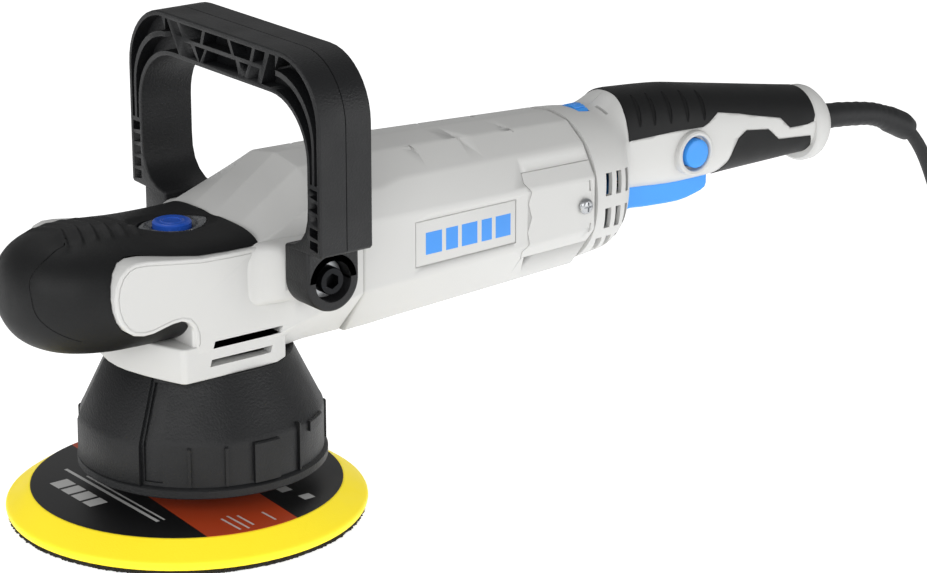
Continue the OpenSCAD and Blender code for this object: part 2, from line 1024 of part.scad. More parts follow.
module trigger_pin() {
    color("#9a9da1")
        rod_y(trigger_x, -13.5, trigger_z, 2 - seat_gap / 2, 27);
}

module lock_on_button() {
    color("#2f86e0")
        rod_y(button_x, -22, button_z, button_r, 10.2);
}

module switch_body() {
    color("#2b2d30")
        translate([224, -6, 112.5])
            cube([40, 12, 14]);
}

module speed_dial() {
    color("#2f86e0")
        difference() {
            union() {
                rod_x(dial_x - 3, 0, dial_z, 11, 6);
                rod_x(dial_x - 3, 0, dial_z, 2, 14);
            }
            for (k = [0 : 23])
                translate([dial_x - 4, 0, dial_z])
                    rotate([15 * k, 0, 0])
                        translate([0, -0.5, 10.3])
                            cube([8, 1, 2]);
        }
}

module speed_board() {
    color("#1f6b3a")
        difference() {
            translate([203.5, -11, 98])
                cube([2, 22, 34]);
            rod_x(200, 0, dial_z, 2.3, 10);
        }
}

module cord_clamp() {
    color("#2b2d30")
        difference() {
            translate([304, -7, 109])
                cube([8, 14, 4]);
            for (y = [-5, 5])
                translate([308, y, 100])
                    cylinder(h = 20, r = 1.3);
        }
}

module shell_screws() {
    color("#3a3c3f")
        for (p = shell_screw_places) {
            rod_y(p[0], -11.5, p[1], 1.2 - seat_gap, shell_head_y(p[0]) + 11.5);
            rod_y(p[0], shell_head_y(p[0]), p[1], 2.9, 2);
        }
}

// ---- Cord ----

module strain_relief() {
    color("#1b1c1d")
        swept_tube(relief_route, relief_radii, 12);
}

module cord_run() {
    color("#1b1c1d")
        swept_tube(cord_route, [for (p = cord_route) cord_r], 10);
}

module cord_coil() {
    half_width = coil_columns * cord_r;
    color("#1b1c1d")
        translate([coil_x, coil_y, 0])
            rotate_extrude()
                translate([coil_mid_r - half_width, 0])
                    square([2 * half_width, coil_h]);
}

module plug_body() {
    color("#1b1c1d")
        translate([plug_x, coil_y - coil_mid_r, coil_h])
            linear_extrude(height = 15)
                polygon([[-18, -17], [-18, 17], [2, 17], [14, 9], [20, 4], [20, -4], [14, -9],
                    [2, -17]]);
}

module plug_pins() {
    color("#c4c7ca")
        for (y = [-9.5, 9.5])
            rod_x(plug_x - 37, coil_y - coil_mid_r + y, coil_h + 7.5, 2.4, 19);
}

pad_hook_face();
pad_foam();
pad_plate();
pad_label();
pad_stud();
pad_spindle();
pad_bearings();
eccentric();
counterweight();
counterweight_screws();
crown_gear();
lower_spindle_bearing();
upper_spindle_bearing();
gear_flange();
flange_screws();
shroud();
gear_head();
head_grip();
lock_bezel();
spindle_lock_button();
lock_spring();
bearing_plate();
bail_handle();
bail_bolts();
bail_washers();
pinion();
armature_shaft();
armature_core();
armature_windings();
commutator();
cooling_fan();
front_bearing();
rear_bearing();
stator_core();
field_coils();
air_baffle();
brush_holders();
carbon_brushes();
brush_springs();
motor_housing();
badge_plates();
brush_covers();
cover_screws();
rear_shell_left();
rear_shell_right();
grip_top();
grip_insert();
trigger();
trigger_pin();
lock_on_button();
switch_body();
speed_dial();
speed_board();
cord_clamp();
shell_screws();
strain_relief();
cord_run();
cord_coil();
plug_body();
plug_pins();
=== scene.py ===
# Dual action polisher: the visual model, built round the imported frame, in metres.
import math
import random

import bmesh
import bpy
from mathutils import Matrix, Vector


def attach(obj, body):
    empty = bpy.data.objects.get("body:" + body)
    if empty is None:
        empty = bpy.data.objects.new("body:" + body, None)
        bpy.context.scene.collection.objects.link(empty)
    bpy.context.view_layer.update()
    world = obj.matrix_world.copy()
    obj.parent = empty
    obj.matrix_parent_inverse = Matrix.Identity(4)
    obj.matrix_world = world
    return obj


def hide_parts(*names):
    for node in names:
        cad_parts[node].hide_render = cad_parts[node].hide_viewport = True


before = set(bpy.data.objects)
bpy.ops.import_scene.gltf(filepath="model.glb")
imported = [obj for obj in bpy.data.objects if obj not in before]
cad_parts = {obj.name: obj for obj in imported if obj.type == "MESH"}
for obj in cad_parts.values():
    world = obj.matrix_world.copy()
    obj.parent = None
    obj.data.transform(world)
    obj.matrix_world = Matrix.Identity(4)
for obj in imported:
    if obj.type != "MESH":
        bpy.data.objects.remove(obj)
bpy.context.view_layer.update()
MM = 0.001


# ---- Camera, lights and floor ----
# A long lens a little above the tool, a pale sweep and large soft lamps on the camera's
# side, so that the sides are bright and the tops fall off to a mid grey.
def area_light(name, place, target, size, power):
    bpy.ops.object.light_add(type="AREA", location=place)
    lamp = bpy.context.object
    lamp.name = name
    lamp.data.shape = "RECTANGLE"
    lamp.data.size, lamp.data.size_y = size
    lamp.data.energy = power
    lamp.rotation_euler = (Vector(target) - Vector(place)).to_track_quat("-Z", "Y").to_euler()


azimuth, elevation = math.radians(37.41), math.radians(18.21)
looking = Vector((
    math.sin(azimuth) * math.cos(elevation),
    math.cos(azimuth) * math.cos(elevation),
    -math.sin(elevation),
))
bpy.ops.object.camera_add(location=(-0.6650, -1.0453, 0.5009))
camera = bpy.context.object
camera.name = "camera"
camera.rotation_euler = looking.to_track_quat("-Z", "Y").to_euler()
camera.data.sensor_width = 36.0
camera.data.lens = 123.8
camera.data.shift_x = 0.0028
camera.data.clip_end = 20.0
bpy.context.scene.camera = camera

area_light("key", (-0.95, -1.15, 0.75), (0.1, 0.0, 0.09), (0.7, 0.7), 7.0)
area_light("fill", (0.75, -1.2, 0.35), (0.15, 0.0, 0.09), (1.0, 0.6), 4.5)
area_light("left", (-1.0, -0.15, 0.45), (-0.05, 0.0, 0.06), (0.35, 0.5), 2.6)
area_light("top", (0.1, 0.6, 1.3), (0.12, 0.0, 0.08), (0.9, 0.4), 2.6)

world = bpy.data.worlds.new("studio")
bpy.context.scene.world = world
world.use_nodes = True
world.node_tree.nodes["Background"].inputs["Color"].default_value = (1.0, 1.0, 1.0, 1.0)
world.node_tree.nodes["Background"].inputs["Strength"].default_value = 0.3
bpy.context.scene.view_settings.view_transform = "Standard"

bpy.ops.mesh.primitive_plane_add(size=12.0, location=(0.0, 0.0, -0.0002))
floor = bpy.context.object
floor.name = "floor"


# Colours are given as sRGB hex and turned to the linear values that shaders take.
def linear(code):
    parts = [int(code[i:i + 2], 16) / 255 for i in (1, 3, 5)]
    return tuple(c / 12.92 if c <= 0.04045 else ((c + 0.055) / 1.055) ** 2.4 for c in parts) + (1.0,
                                                                                                )


# Adds one node with its settings and its input links or values, and returns it.
def add_node(material, kind, settings=None, **inputs):
    made = material.node_tree.nodes.new(kind)
    for key, value in (settings or {}).items():
        setattr(made, key, value)
    for key, value in inputs.items():
        socket = made.inputs[int(key[1:])] if key[0] == "i" and key[1:].isdigit() else made.inputs[
            key.replace("_", " ")]
        if isinstance(value, bpy.types.NodeSocket):
            material.node_tree.links.new(value, socket)
        else:
            socket.default_value = value
    return made


# A new material with its shader's plain values set, and the shader itself.
def new_material(name, colour, roughness, **values):
    material = bpy.data.materials.new(name)
    material.use_nodes = True
    shader = material.node_tree.nodes["Principled BSDF"]
    shader.inputs["Base Color"].default_value = linear(colour)
    shader.inputs["Roughness"].default_value = roughness
    for key, value in values.items():
        shader.inputs[key.replace("_", " ")].default_value = value
    material.diffuse_color = linear(colour)
    return material, shader


paper, paper_shader = new_material("lit_white_acrylic", "#f2f2f2", 0.9, Emission_Strength=0.75)
paper_shader.inputs["Emission Color"].default_value = (1.0, 1.0, 1.0, 1.0)
paper_place = add_node(paper, "ShaderNodeTexCoord").outputs["Object"]
paper_grain = add_node(paper, "ShaderNodeTexNoise", None, Vector=paper_place, Scale=400.0)
paper_bump = add_node(paper, "ShaderNodeBump", None, Height=paper_grain.outputs[0], Strength=0.02)
paper.node_tree.links.new(paper_bump.outputs[0], paper_shader.inputs["Normal"])
floor.data.materials.append(paper)


# ---- Mains cord ----
# Two-core rubber cord, 6.5 mm thick and 2.1 m long. It falls from the strain relief to the
# bench and is wound there, out of the way, in three layers of three turns.
CORD_D = 6.5 * MM
route = [
    (405, 0, 93.6), (410, 0, 88.5), (415, 0, 82), (420, 0, 73), (425, 0, 62), (430, 0, 50),
    (436, 0, 37), (443, 0, 24), (451, 0, 13), (460, 0, 6.5), (469, 0, 4), (480, 0, 3.4),
]
coil_centre = Vector((502, -42.5, 0)) * MM
coil_mid_r = 36 * MM


# How far the cord has gone round the coil, in turns from its north side, gives its radius
# and height: it steps across by a diameter, or up by one, just before a turn ends.
def eased(t, start, end):
    t = min(max((t - start) / (end - start), 0.0), 1.0)
    return t * t * (3 - 2 * t)


def coil_point(turns):
    across = sum(eased(turns, n - 0.15, n) for n in (1, 2))
    across -= sum(eased(turns, n - 0.15, n) for n in (4, 5))
    across += eased(turns, 6.85, 7)
    up = eased(turns, 2.85, 3) + eased(turns, 5.85, 6) + eased(turns, 7.68, 7.83)
    r = coil_mid_r + CORD_D * (1 - across)
    angle = math.tau * turns
    return coil_centre + Vector((
        r * math.sin(angle), r * math.cos(angle), CORD_D * (0.5 + up)))


coil_steps = 20
line = [Vector(p) * MM for p in route] + [Vector((490, 0, 3.25)) * MM]
line += [coil_point(k / coil_steps) for k in range(int(8.25 * coil_steps) + 1)]
line += [Vector(p) * MM for p in ((536, -54, 23.2), (528, -67, 24.6), (518, -76, 26.3),
                                  (506, -78.5, 27))]

curve = bpy.data.curves.new("mains_cord", "CURVE")
curve.dimensions = "3D"
curve.bevel_depth = CORD_D / 2
curve.bevel_resolution = 5
curve.resolution_u = 3
spline = curve.splines.new("NURBS")
spline.points.add(len(line) - 1)
for point, place in zip(spline.points, line):
    point.co = (*place, 1.0)
spline.order_u = 4
spline.use_endpoint_u = True
mains_cord = bpy.data.objects.new("mains_cord", curve)
bpy.context.collection.objects.link(mains_cord)

# Extruded rubber: nearly matt, with a faint run of the die along it.
rubber, rubber_shader = new_material("extruded_rubber", "#17181a", 0.55, Specular_IOR_Level=0.45)
rubber_place = add_node(rubber, "ShaderNodeTexCoord").outputs["Object"]
rubber_noise = add_node(rubber, "ShaderNodeTexNoise", None, Vector=rubber_place, Scale=900.0,
                        Detail=3.0)
rubber_bump = add_node(rubber, "ShaderNodeBump", None, Height=rubber_noise.outputs[0],
                       Strength=0.12,
                       Distance=0.0002)
rubber.node_tree.links.new(rubber_bump.outputs[0], rubber_shader.inputs["Normal"])
rubber_patch = add_node(rubber, "ShaderNodeTexNoise", None, Vector=rubber_place, Scale=60.0)
rubber_rough = add_node(rubber, "ShaderNodeMapRange", None, i0=rubber_patch.outputs[0], i3=0.48,
                        i4=0.62)
rubber.node_tree.links.new(rubber_rough.outputs[0], rubber_shader.inputs["Roughness"])
curve.materials.append(rubber)


# ---- Strain relief ----
# Soft moulded boot, 12 mm thick at the casing, with shallow rings and a rolled lip at its
# end. It is lofted along the cord's first bend, one ring of points at each station.
def deselect():
    if bpy.context.object and bpy.context.object.mode == "EDIT":
        bpy.ops.object.mode_set(mode="OBJECT")
    bpy.ops.object.select_all(action="DESELECT")


# Skins rings of points in order: a circle is placed on the first, and its edge is extruded
# to each of the others. Both ends are filled.
def ring_loft(name, rings):
    deselect()
    bpy.ops.mesh.primitive_circle_add(vertices=len(rings[0]))
    piece = bpy.context.object
    piece.name = piece.data.name = name
    for vertex, place in zip(piece.data.vertices, rings[0]):
        vertex.co = place
    bpy.ops.object.mode_set(mode="EDIT")
    mesh = bmesh.from_edit_mesh(piece.data)
    mesh.verts.ensure_lookup_table()
    first = list(mesh.verts)
    bpy.ops.mesh.select_all(action="SELECT")
    count = len(first)
    for ring in rings[1:]:
        bpy.ops.mesh.extrude_edges_move()
        mesh = bmesh.from_edit_mesh(piece.data)
        mesh.verts.ensure_lookup_table()
        for vertex, place in zip(mesh.verts[-count:], ring):
            vertex.co = place
    bpy.ops.mesh.edge_face_add()
    bpy.ops.mesh.select_all(action="DESELECT")
    mesh = bmesh.from_edit_mesh(piece.data)
    mesh.verts.ensure_lookup_table()
    for vertex in mesh.verts[:count]:
        vertex.select = True
    mesh.select_flush(True)
    bpy.ops.mesh.edge_face_add()
    bpy.ops.mesh.select_all(action="SELECT")
    bpy.ops.mesh.normals_make_consistent(inside=False)
    bpy.ops.object.mode_set(mode="OBJECT")
    piece.location = (0, 0, 0)
    return piece


# Adds a modifier with its settings and applies it.
def modified(piece, kind, **settings):
    deselect()
    bpy.context.view_layer.objects.active = piece
    piece.select_set(True)
    modifier = piece.modifiers.new(kind.lower(), kind)
    for key, value in settings.items():
        setattr(modifier, key, value)
    bpy.ops.object.modifier_apply(modifier=modifier.name)


# Says what a finished piece is: its material, the body it rides on, what it stands for.
def settle(piece, material, body, slot, *nodes, smooth=35):
    deselect()
    bpy.context.view_layer.objects.active = piece
    piece.select_set(True)
    piece.data.materials.clear()
    piece.data.materials.append(material)
    if smooth:
        bpy.ops.object.shade_smooth_by_angle(angle=math.radians(smooth))
    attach(piece, body)
    if nodes:
        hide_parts(*nodes)


relief_route = [(334, 109.2), (341, 109.2), (355, 108.8), (367, 107.5), (378, 105.8), (386, 103.4),
                (393, 100.2), (400, 96.8), (405, 93.6)]
relief_radii = [6.4, 6.2, 6.0, 5.8, 5.6, 5.6, 6.3, 6.4, 5.6]
rings = []
stations = 64
for k in range(stations + 1):
    t = k / stations * (len(relief_route) - 1)
    i = min(int(t), len(relief_route) - 2)
    (x0, z0), (x1, z1) = relief_route[i], relief_route[i + 1]
    xa, za = relief_route[max(i - 1, 0)]
    xb, zb = relief_route[min(i + 2, len(relief_route) - 1)]
    f = t - i
    tangent0, tangent1 = Vector((x1 - xa, z1 - za)) / 2, Vector((xb - x0, zb - z0)) / 2
    h = (2 * f ** 3 - 3 * f ** 2 + 1, f ** 3 - 2 * f ** 2 + f, 3 * f ** 2 - 2 * f ** 3,
         f ** 3 - f ** 2)
    centre = Vector((x0, z0)) * h[0] + tangent0 * h[1] + Vector((x1, z1)) * h[2] + tangent1 * h[3]
    ahead = (tangent0.lerp(tangent1, f)).normalized()
    radius = relief_radii[i] + (relief_radii[i + 1] - relief_radii[i]) * eased(f, 0, 1)
    if k == stations:
        radius = 4.2
    elif 12 < k < 46:
        radius -= 0.22 * (1 + math.cos(math.tau * k / 4)) / 2
    normal = Vector((-ahead.y, ahead.x))
    rings.append([
        Vector((centre.x + normal.x * radius * math.sin(a), radius * math.cos(a),
                centre.y + normal.y * radius * math.sin(a))) * MM
        for a in (math.tau * n / 32 for n in range(32))])
relief = ring_loft("strain_relief_boot", rings)
settle(relief, rubber, "housing", "cord_rubber", "strain_relief")


# ---- Plug ----
# Flat two-pin plug moulded onto the cord's end in the same rubber, lying on the coil. Its
# outline is extruded, its edges are rounded, and finger grooves are pressed in its faces.
def extruded(name, outline, low, high, axis="Z"):
    deselect()
    bpy.ops.mesh.primitive_circle_add(vertices=len(outline), fill_type="NGON")
    piece = bpy.context.object
    piece.name = piece.data.name = name
    turn = {"Z": lambda a, b: (a, b, low), "Y": lambda a, b: (a, low, b), "X": lambda a,
            b: (low, a, b)}
    step = {"Z": (0, 0, 1), "Y": (0, 1, 0), "X": (1, 0, 0)}[axis]
    for vertex, (a, b) in zip(piece.data.vertices, outline):
        vertex.co = Vector(turn[axis](a, b)) * MM
    bpy.ops.object.mode_set(mode="EDIT")
    bpy.ops.mesh.select_all(action="SELECT")
    bpy.ops.mesh.extrude_region_move(
        TRANSFORM_OT_translate={"value": Vector(step) * (high - low) * MM})
    bpy.ops.mesh.select_all(action="SELECT")
    bpy.ops.mesh.normals_make_consistent(inside=False)
    bpy.ops.object.mode_set(mode="OBJECT")
    return piece


# Cuts, joins or keeps the overlap of a piece with others, which are used up.
def carved(piece, *others, how="DIFFERENCE"):
    for other in others:
        modified(piece, "BOOLEAN", object=other, operation=how, solver="EXACT")
        bpy.data.objects.remove(other)


def block(name, low, high):
    (x0, y0, z0), (x1, y1, z1) = low, high
    return extruded(name, [(x0, y0), (x1, y0), (x1, y1), (x0, y1)], z0, z1)


plug_x, plug_y, plug_z = 486, -78.5, 19.5
plug_outline = [(-18, -15), (-18, 15), (-14, 17), (2, 16.5), (13, 9), (20, 4.5), (20, -4.5),
                (13, -9),
                (2, -16.5), (-14, -17)]
plug = extruded("plug_moulding", [(plug_x + a, plug_y + b) for a, b in plug_outline],
                plug_z, plug_z + 15)
modified(plug, "BEVEL", width=2.6 * MM, segments=4, limit_method="ANGLE", angle_limit=0.5)
for side in (plug_z - 1, plug_z + 14.2):
    for n in range(4):
        x = plug_x - 8 + 4 * n
        carved(plug, block("groove", (x, plug_y - 9, side), (x + 1.4, plug_y + 9, side + 1.8)))
settle(plug, rubber, "housing", "cord_rubber", "plug_body")
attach(mains_cord, "housing")
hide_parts("cord_run", "cord_coil")


# ---- Backing pad ----
# A disc of yellow closed-cell polyurethane foam, 150 mm across and moulded onto a stiff
# plate. Its edge is thickest low down and slopes in to the label.
def spun(name, profile, place=(0, 0, 0), axis="Z", steps=96):
    deselect()
    bpy.ops.mesh.primitive_circle_add(vertices=len(profile))
    piece = bpy.context.object
    piece.name = piece.data.name = name
    turn = {"Z": lambda r, t: (r, 0, t), "X": lambda r, t: (t, 0, r), "Y": lambda r,
            t: (r, t, 0)}[axis]
    spin = {"Z": (0, 0, 1), "X": (1, 0, 0), "Y": (0, 1, 0)}[axis]
    centre = Vector(place) * MM
    for vertex, (r, t) in zip(piece.data.vertices, profile):
        vertex.co = centre + Vector(turn(r, t)) * MM
    bpy.ops.object.mode_set(mode="EDIT")
    if profile[0][0] == 0 and profile[-1][0] == 0:
        bpy.ops.mesh.select_all(action="DESELECT")
        mesh = bmesh.from_edit_mesh(piece.data)
        mesh.verts.ensure_lookup_table()
        mesh.verts[0].select = mesh.verts[-1].select = True
        mesh.select_flush(True)
        bpy.ops.mesh.delete(type="EDGE_FACE")
    bpy.ops.mesh.select_all(action="SELECT")
    bpy.ops.mesh.spin(steps=steps, angle=math.tau, center=centre, axis=spin)
    bpy.ops.mesh.select_all(action="SELECT")
    bpy.ops.mesh.remove_doubles(threshold=0.00001)
    bpy.ops.mesh.normals_make_consistent(inside=False)
    bpy.ops.object.mode_set(mode="OBJECT")
    piece.location = (0, 0, 0)
    return piece


# Fine relief: noise of a stated grain, in millimetres, drives a bump.
def grain(material, shader, size, height, strength=0.5, detail=2.0):
    place = add_node(material, "ShaderNodeTexCoord").outputs["Object"]
    noise = add_node(material, "ShaderNodeTexNoise", None, Vector=place, Scale=1000.0 / size,
                     Detail=detail)
    bump = add_node(material, "ShaderNodeBump", None, Height=noise.outputs[0], Strength=strength,
                    Distance=height * MM)
    material.node_tree.links.new(bump.outputs[0], shader.inputs["Normal"])
    return place


# Slow patches that move the roughness between two values.
def uneven(material, shader, place, size, low, high):
    patch = add_node(material, "ShaderNodeTexNoise", None, Vector=place, Scale=1000.0 / size,
                     Detail=3.0)
    level = add_node(material, "ShaderNodeMapRange", None, i0=patch.outputs[0], i1=0.3, i2=0.7,
                     i3=low,
                     i4=high)
    material.node_tree.links.new(level.outputs[0], shader.inputs["Roughness"])


pad_centre = (7.5 * math.cos(math.radians(170)), 7.5 * math.sin(math.radians(170)), 0)
foam = spun("pad_foam_moulding", [
    (0, 2.25), (73.6, 2.25), (74.3, 2.6), (74.8, 3.5), (75, 4.5), (74.9, 5.3), (74.5, 6),
    (73.9, 6.5),
    (65.6, 12.0), (65.2, 12.3), (64.9, 12.35), (60.3, 12.35), (60.3, 6.4), (0, 6.4)], pad_centre)
# The foam skin also glows faintly in yellow. This is painted light: the glow brightens the pad
# beyond what the lamps give.
foam_with_painted_glow, foam_shader = new_material("polyurethane_foam_painted_glow", "#ffe82a", 0.5,
                                      Specular_IOR_Level=0.35, Emission_Strength=0.22)
foam_shader.inputs["Emission Color"].default_value = linear("#ffe420")
foam_place = grain(foam_with_painted_glow, foam_shader, 0.7, 0.25, 0.35, 4.0)
uneven(foam_with_painted_glow, foam_shader, foam_place, 14, 0.42, 0.6)
settle(foam, foam_with_painted_glow, "pad", "pad_foam", "pad_foam")


# ---- Hook face ----
# Knitted nylon hook fabric glued under the foam; its cut edge frays, so the rim is ragged.
hook_random = random.Random(4)
hook_rings = []
hook_count = 900
for radius, z, fray in ((10, 0.02, 0), (72.4, 0.02, 0.5), (73.2, 0.5, 1.1), (73.3, 1.1, 1.3),
                        (73.0, 1.7, 1.0),
                        (72.6, 2.2, 0.2), (10, 2.2, 0)):
    hook_rings.append([
        Vector((pad_centre[0] + r * math.cos(a), pad_centre[1] + r * math.sin(a), z)) * MM
        for a, r in ((math.tau * k / hook_count, radius + fray * hook_random.random() ** 2)
                     for k in range(hook_count))])
hooks = ring_loft("hook_fabric", hook_rings)
hook_nylon, hook_shader = new_material("knitted_hook_nylon", "#1a1a1b", 0.8)
grain(hook_nylon, hook_shader, 0.8, 0.6, 0.8)
settle(hooks, hook_nylon, "pad", "hook_nylon", "pad_hook_face")


# ---- Pad label ----
# Printed vinyl ring glued on the plate: black, with one orange-red band across the disc, and
# plain white marks where the printing was.
label = spun("pad_label_ring", [(14, 12.36), (64.4, 12.36), (64.7, 12.5), (64.7, 12.62),
                                (64.5, 12.7), (14, 12.7)],
             pad_centre)
vinyl, vinyl_shader = new_material("printed_vinyl", "#131314", 0.42, Specular_IOR_Level=0.45)
vinyl_place = add_node(vinyl, "ShaderNodeTexCoord").outputs["Object"]
vinyl_axes = add_node(vinyl, "ShaderNodeSeparateXYZ", None, i0=vinyl_place)


def maths(material, operation, a, b=None):
    inputs = {"i0": a} if b is None else {"i0": a, "i1": b}
    return add_node(material, "ShaderNodeMath", {"operation": operation}, **inputs).outputs[0]


# One where both coordinates lie in a box about a centre, all in millimetres.
def box_mask(material, x, y, centre, half):
    inside = None
    for value, middle, reach in ((x, centre[0], half[0]), (y, centre[1], half[1])):
        off = maths(material, "ABSOLUTE", maths(material, "SUBTRACT", value, middle * MM))
        here = maths(material, "LESS_THAN", off, reach * MM)
        inside = here if inside is None else maths(material, "MULTIPLY", inside, here)
    return inside


vinyl_x, vinyl_y = vinyl_axes.outputs[0], vinyl_axes.outputs[1]
leaning = maths(vinyl, "SUBTRACT", vinyl_x, maths(vinyl, "MULTIPLY", vinyl_y, 0.08))
band = box_mask(vinyl, leaning, vinyl_y, (-11, 0), (20, 90))
marks = None
for centre, half in (((-52, 1), (4.2, 3.2)), ((-52, 9.5), (4.2, 3.6)), ((-52, 18), (4.2, 3.2)),
                     ((-52, 26.5), (4.2, 3.6)),
                     ((-42.6, 4), (0.8, 36)), ((-39.6, -2), (0.5, 30)),
                     ((-21, -52), (0.5, 7)), ((-17.5, -52), (0.5, 8)), ((-14, -52), (0.5, 6)),
                     ((-4, -54), (0.5, 5)), ((17, -34), (2.6, 2.6)), ((20, -46), (2.6, 2.6))):
    mark = box_mask(vinyl, vinyl_x, vinyl_y, centre, half)
    marks = mark if marks is None else maths(vinyl, "MAXIMUM", marks, mark)
vinyl_band = add_node(vinyl, "ShaderNodeMix", {"data_type": "RGBA"}, i0=band, i6=linear("#141415"),
                      i7=linear("#b8431f"))
vinyl_ink = add_node(vinyl, "ShaderNodeMix", {"data_type": "RGBA"},
                     i0=maths(vinyl, "MULTIPLY", marks, 0.75),
                     i6=vinyl_band.outputs[2], i7=linear("#d8d8d6"))
vinyl.node_tree.links.new(vinyl_ink.outputs[2], vinyl_shader.inputs["Base Color"])
settle(label, vinyl, "pad", "printed_label", "pad_label")


# ---- Shroud ----
# Guard over the eccentric, moulded in glass-filled nylon with a coarse spark-eroded grain. A
# flared skirt with a lip, a raised panel at the front left, thin ribs and one raised block.
def around(radius, angle, z):
    return Vector((radius * math.cos(angle), radius * math.sin(angle), z)) * MM


# A piece of a wall's profile swept from one angle to another about the spindle, in degrees.
def sector(name, profile, start, end):
    count = max(2, int(abs(end - start) / 3) + 1)
    return ring_loft(name, [
        [around(r, math.radians(start + (end - start) * k / (count - 1)), z) for r, z in profile]
        for k in range(count)])


shroud = spun("shroud_guard", [
    (48, 22), (51.2, 22), (51.8, 22.5), (51.8, 25.4), (51.3, 26), (50.2, 26.6), (50.2, 43.6),
    (49.9, 44.9),
    (49.2, 46.1), (38.6, 68.0), (38, 69), (23.8, 69), (23.8, 66), (35, 66), (47, 44), (48, 42)])
for start, end, low, high, out in ((-129.6, -128.2, 27, 43.6, 51.3),
                                   (-112.6, -111.2, 27, 43.6, 51.3),
                                   (-73, -72, 26.5, 47, 51.4), (-64, -50, 40.5, 45, 51.2),
                                   (-99, -86, 27, 44, 51.9), (-30, -28.6, 27, 43.6, 51.3),
                                   (20, 21.4, 27, 43.6, 51.3), (60, 61.4, 27, 43.6, 51.3),
                                   (100, 101.4, 27, 43.6, 51.3), (140, 141.4, 27, 43.6, 51.3)):
    carved(shroud, sector("rib", [(49.3, low), (out, low), (out, high - 0.6), (out - 0.6, high),
                                  (49.3, high)],
                          start, end), how="UNION")
raised = [(49.3, 26.4), (51.9, 26.4), (52.3, 27.2), (52.1, 43.2), (51.3, 45.4), (40.4, 67.5),
          (39.4, 68.4), (36.6, 68.4)]
carved(shroud, sector("raised_panel", raised, 160, 208), how="UNION")
recess = [(49.4, 28), (52, 28), (52, 44.5), (40, 66.5), (37.4, 66.5), (49, 44)]
carved(shroud, sector("recess_strip", recess, 209.5, 218.5))
modified(shroud, "BEVEL", width=0.35 * MM, segments=2, limit_method="ANGLE", angle_limit=0.9)
nylon, nylon_shader = new_material("glass_filled_nylon", "#101113", 0.46, Specular_IOR_Level=0.4)
nylon_place = grain(nylon, nylon_shader, 0.9, 0.35, 0.6, 3.0)
uneven(nylon, nylon_shader, nylon_place, 25, 0.42, 0.58)
settle(shroud, nylon, "housing", "black_moulding", "shroud", smooth=28)


# ---- Gear head ----
# Moulded in grey glass-filled nylon: a collar with a nearly flat front over the shroud, a
# neck that rises to the motor in broad facets, a panel on each side of the nose, and a cheek
# on each side that carries the bail. It is hollow for the gears.
# Closes an outline given for one side by its mirror image across the middle plane.
def both(points):
    return points + [(x, -y) for x, y in reversed(points) if y != 0]


def box(name, low, high, bevel=0.0):
    piece = block(name, low, high)
    if bevel:
        modified(piece, "BEVEL", width=bevel * MM, segments=3, limit_method="ANGLE",
                 angle_limit=0.5)
    return piece


def rod(name, axis, place, radius, length, steps=64):
    x, y, z = place
    a, b, low = {"X": (y, z, x), "Y": (x, z, y), "Z": (x, y, z)}[axis]
    turns = [math.tau * (k + 0.5) / steps for k in range(steps)]
    return extruded(name, [(a + radius * math.cos(t), b + radius * math.sin(t)) for t in turns],
                    low, low + length, axis)


# Sections across X: each is a polygon of Y and Z, given for one side from the top to the
# bottom. The long edges between facets are rounded.
def faceted(name, sections, bevel, angle=0.12):
    rings = []
    for n, (x, half) in enumerate(sections):
        last_x, last = sections[max(n - 1, 0)]
        steps = max(1, round((x - last_x) / 8))
        for k in range(1, steps + 1):
            f = k / steps
            half_here = [(a + (c - a) * f, b + (d - b) * f) for (a, b), (c, d) in zip(last, half)]
            ring = half_here + [(-y, z) for y, z in reversed(half_here) if y != 0]
            rings.append([Vector((last_x + (x - last_x) * f, y, z)) * MM for y, z in ring])
    piece = ring_loft(name, rings)
    if bevel:
        modified(piece, "BEVEL", width=bevel * MM, segments=4, limit_method="ANGLE",
                 angle_limit=angle)
    modified(piece, "TRIANGULATE")
    return piece


# Joins pieces into the first, as separate closed shells of one object.
def joined(pieces):
    deselect()
    for piece in pieces:
        piece.select_set(True)
    bpy.context.view_layer.objects.active = pieces[0]
    bpy.ops.object.join()
    return pieces[0]


# Cuts each of several pieces with all the cutters, which are used up.
def cut_each(pieces, cutters):
    for piece in pieces:
        for cutter in cutters:
            modified(piece, "BOOLEAN", object=cutter, operation="DIFFERENCE", solver="EXACT")
    for cutter in cutters:
        bpy.data.objects.remove(cutter)
    return pieces


# An outline moved inward by a distance; it runs anticlockwise round its middle.
def inward(points, by):
    moved = []
    for n, (x, z) in enumerate(points):
        a, b = points[n - 1], points[(n + 1) % len(points)]
        direction = Vector((b[0] - a[0], b[1] - a[1])).normalized()
        moved.append((x - direction.y * by, z + direction.x * by))
    return moved


# The stretch between two distances from the middle plane, on the left or the right.
def span(side, near, far):
    return (near, far) if side > 0 else (-far, -near)


# Places that more than one piece shares: the motor's axis, the lock button and the bail's axis.
MOTOR_Z = 106
LOCK_X = -12
BAIL_X, BAIL_Z = 25, 107.5

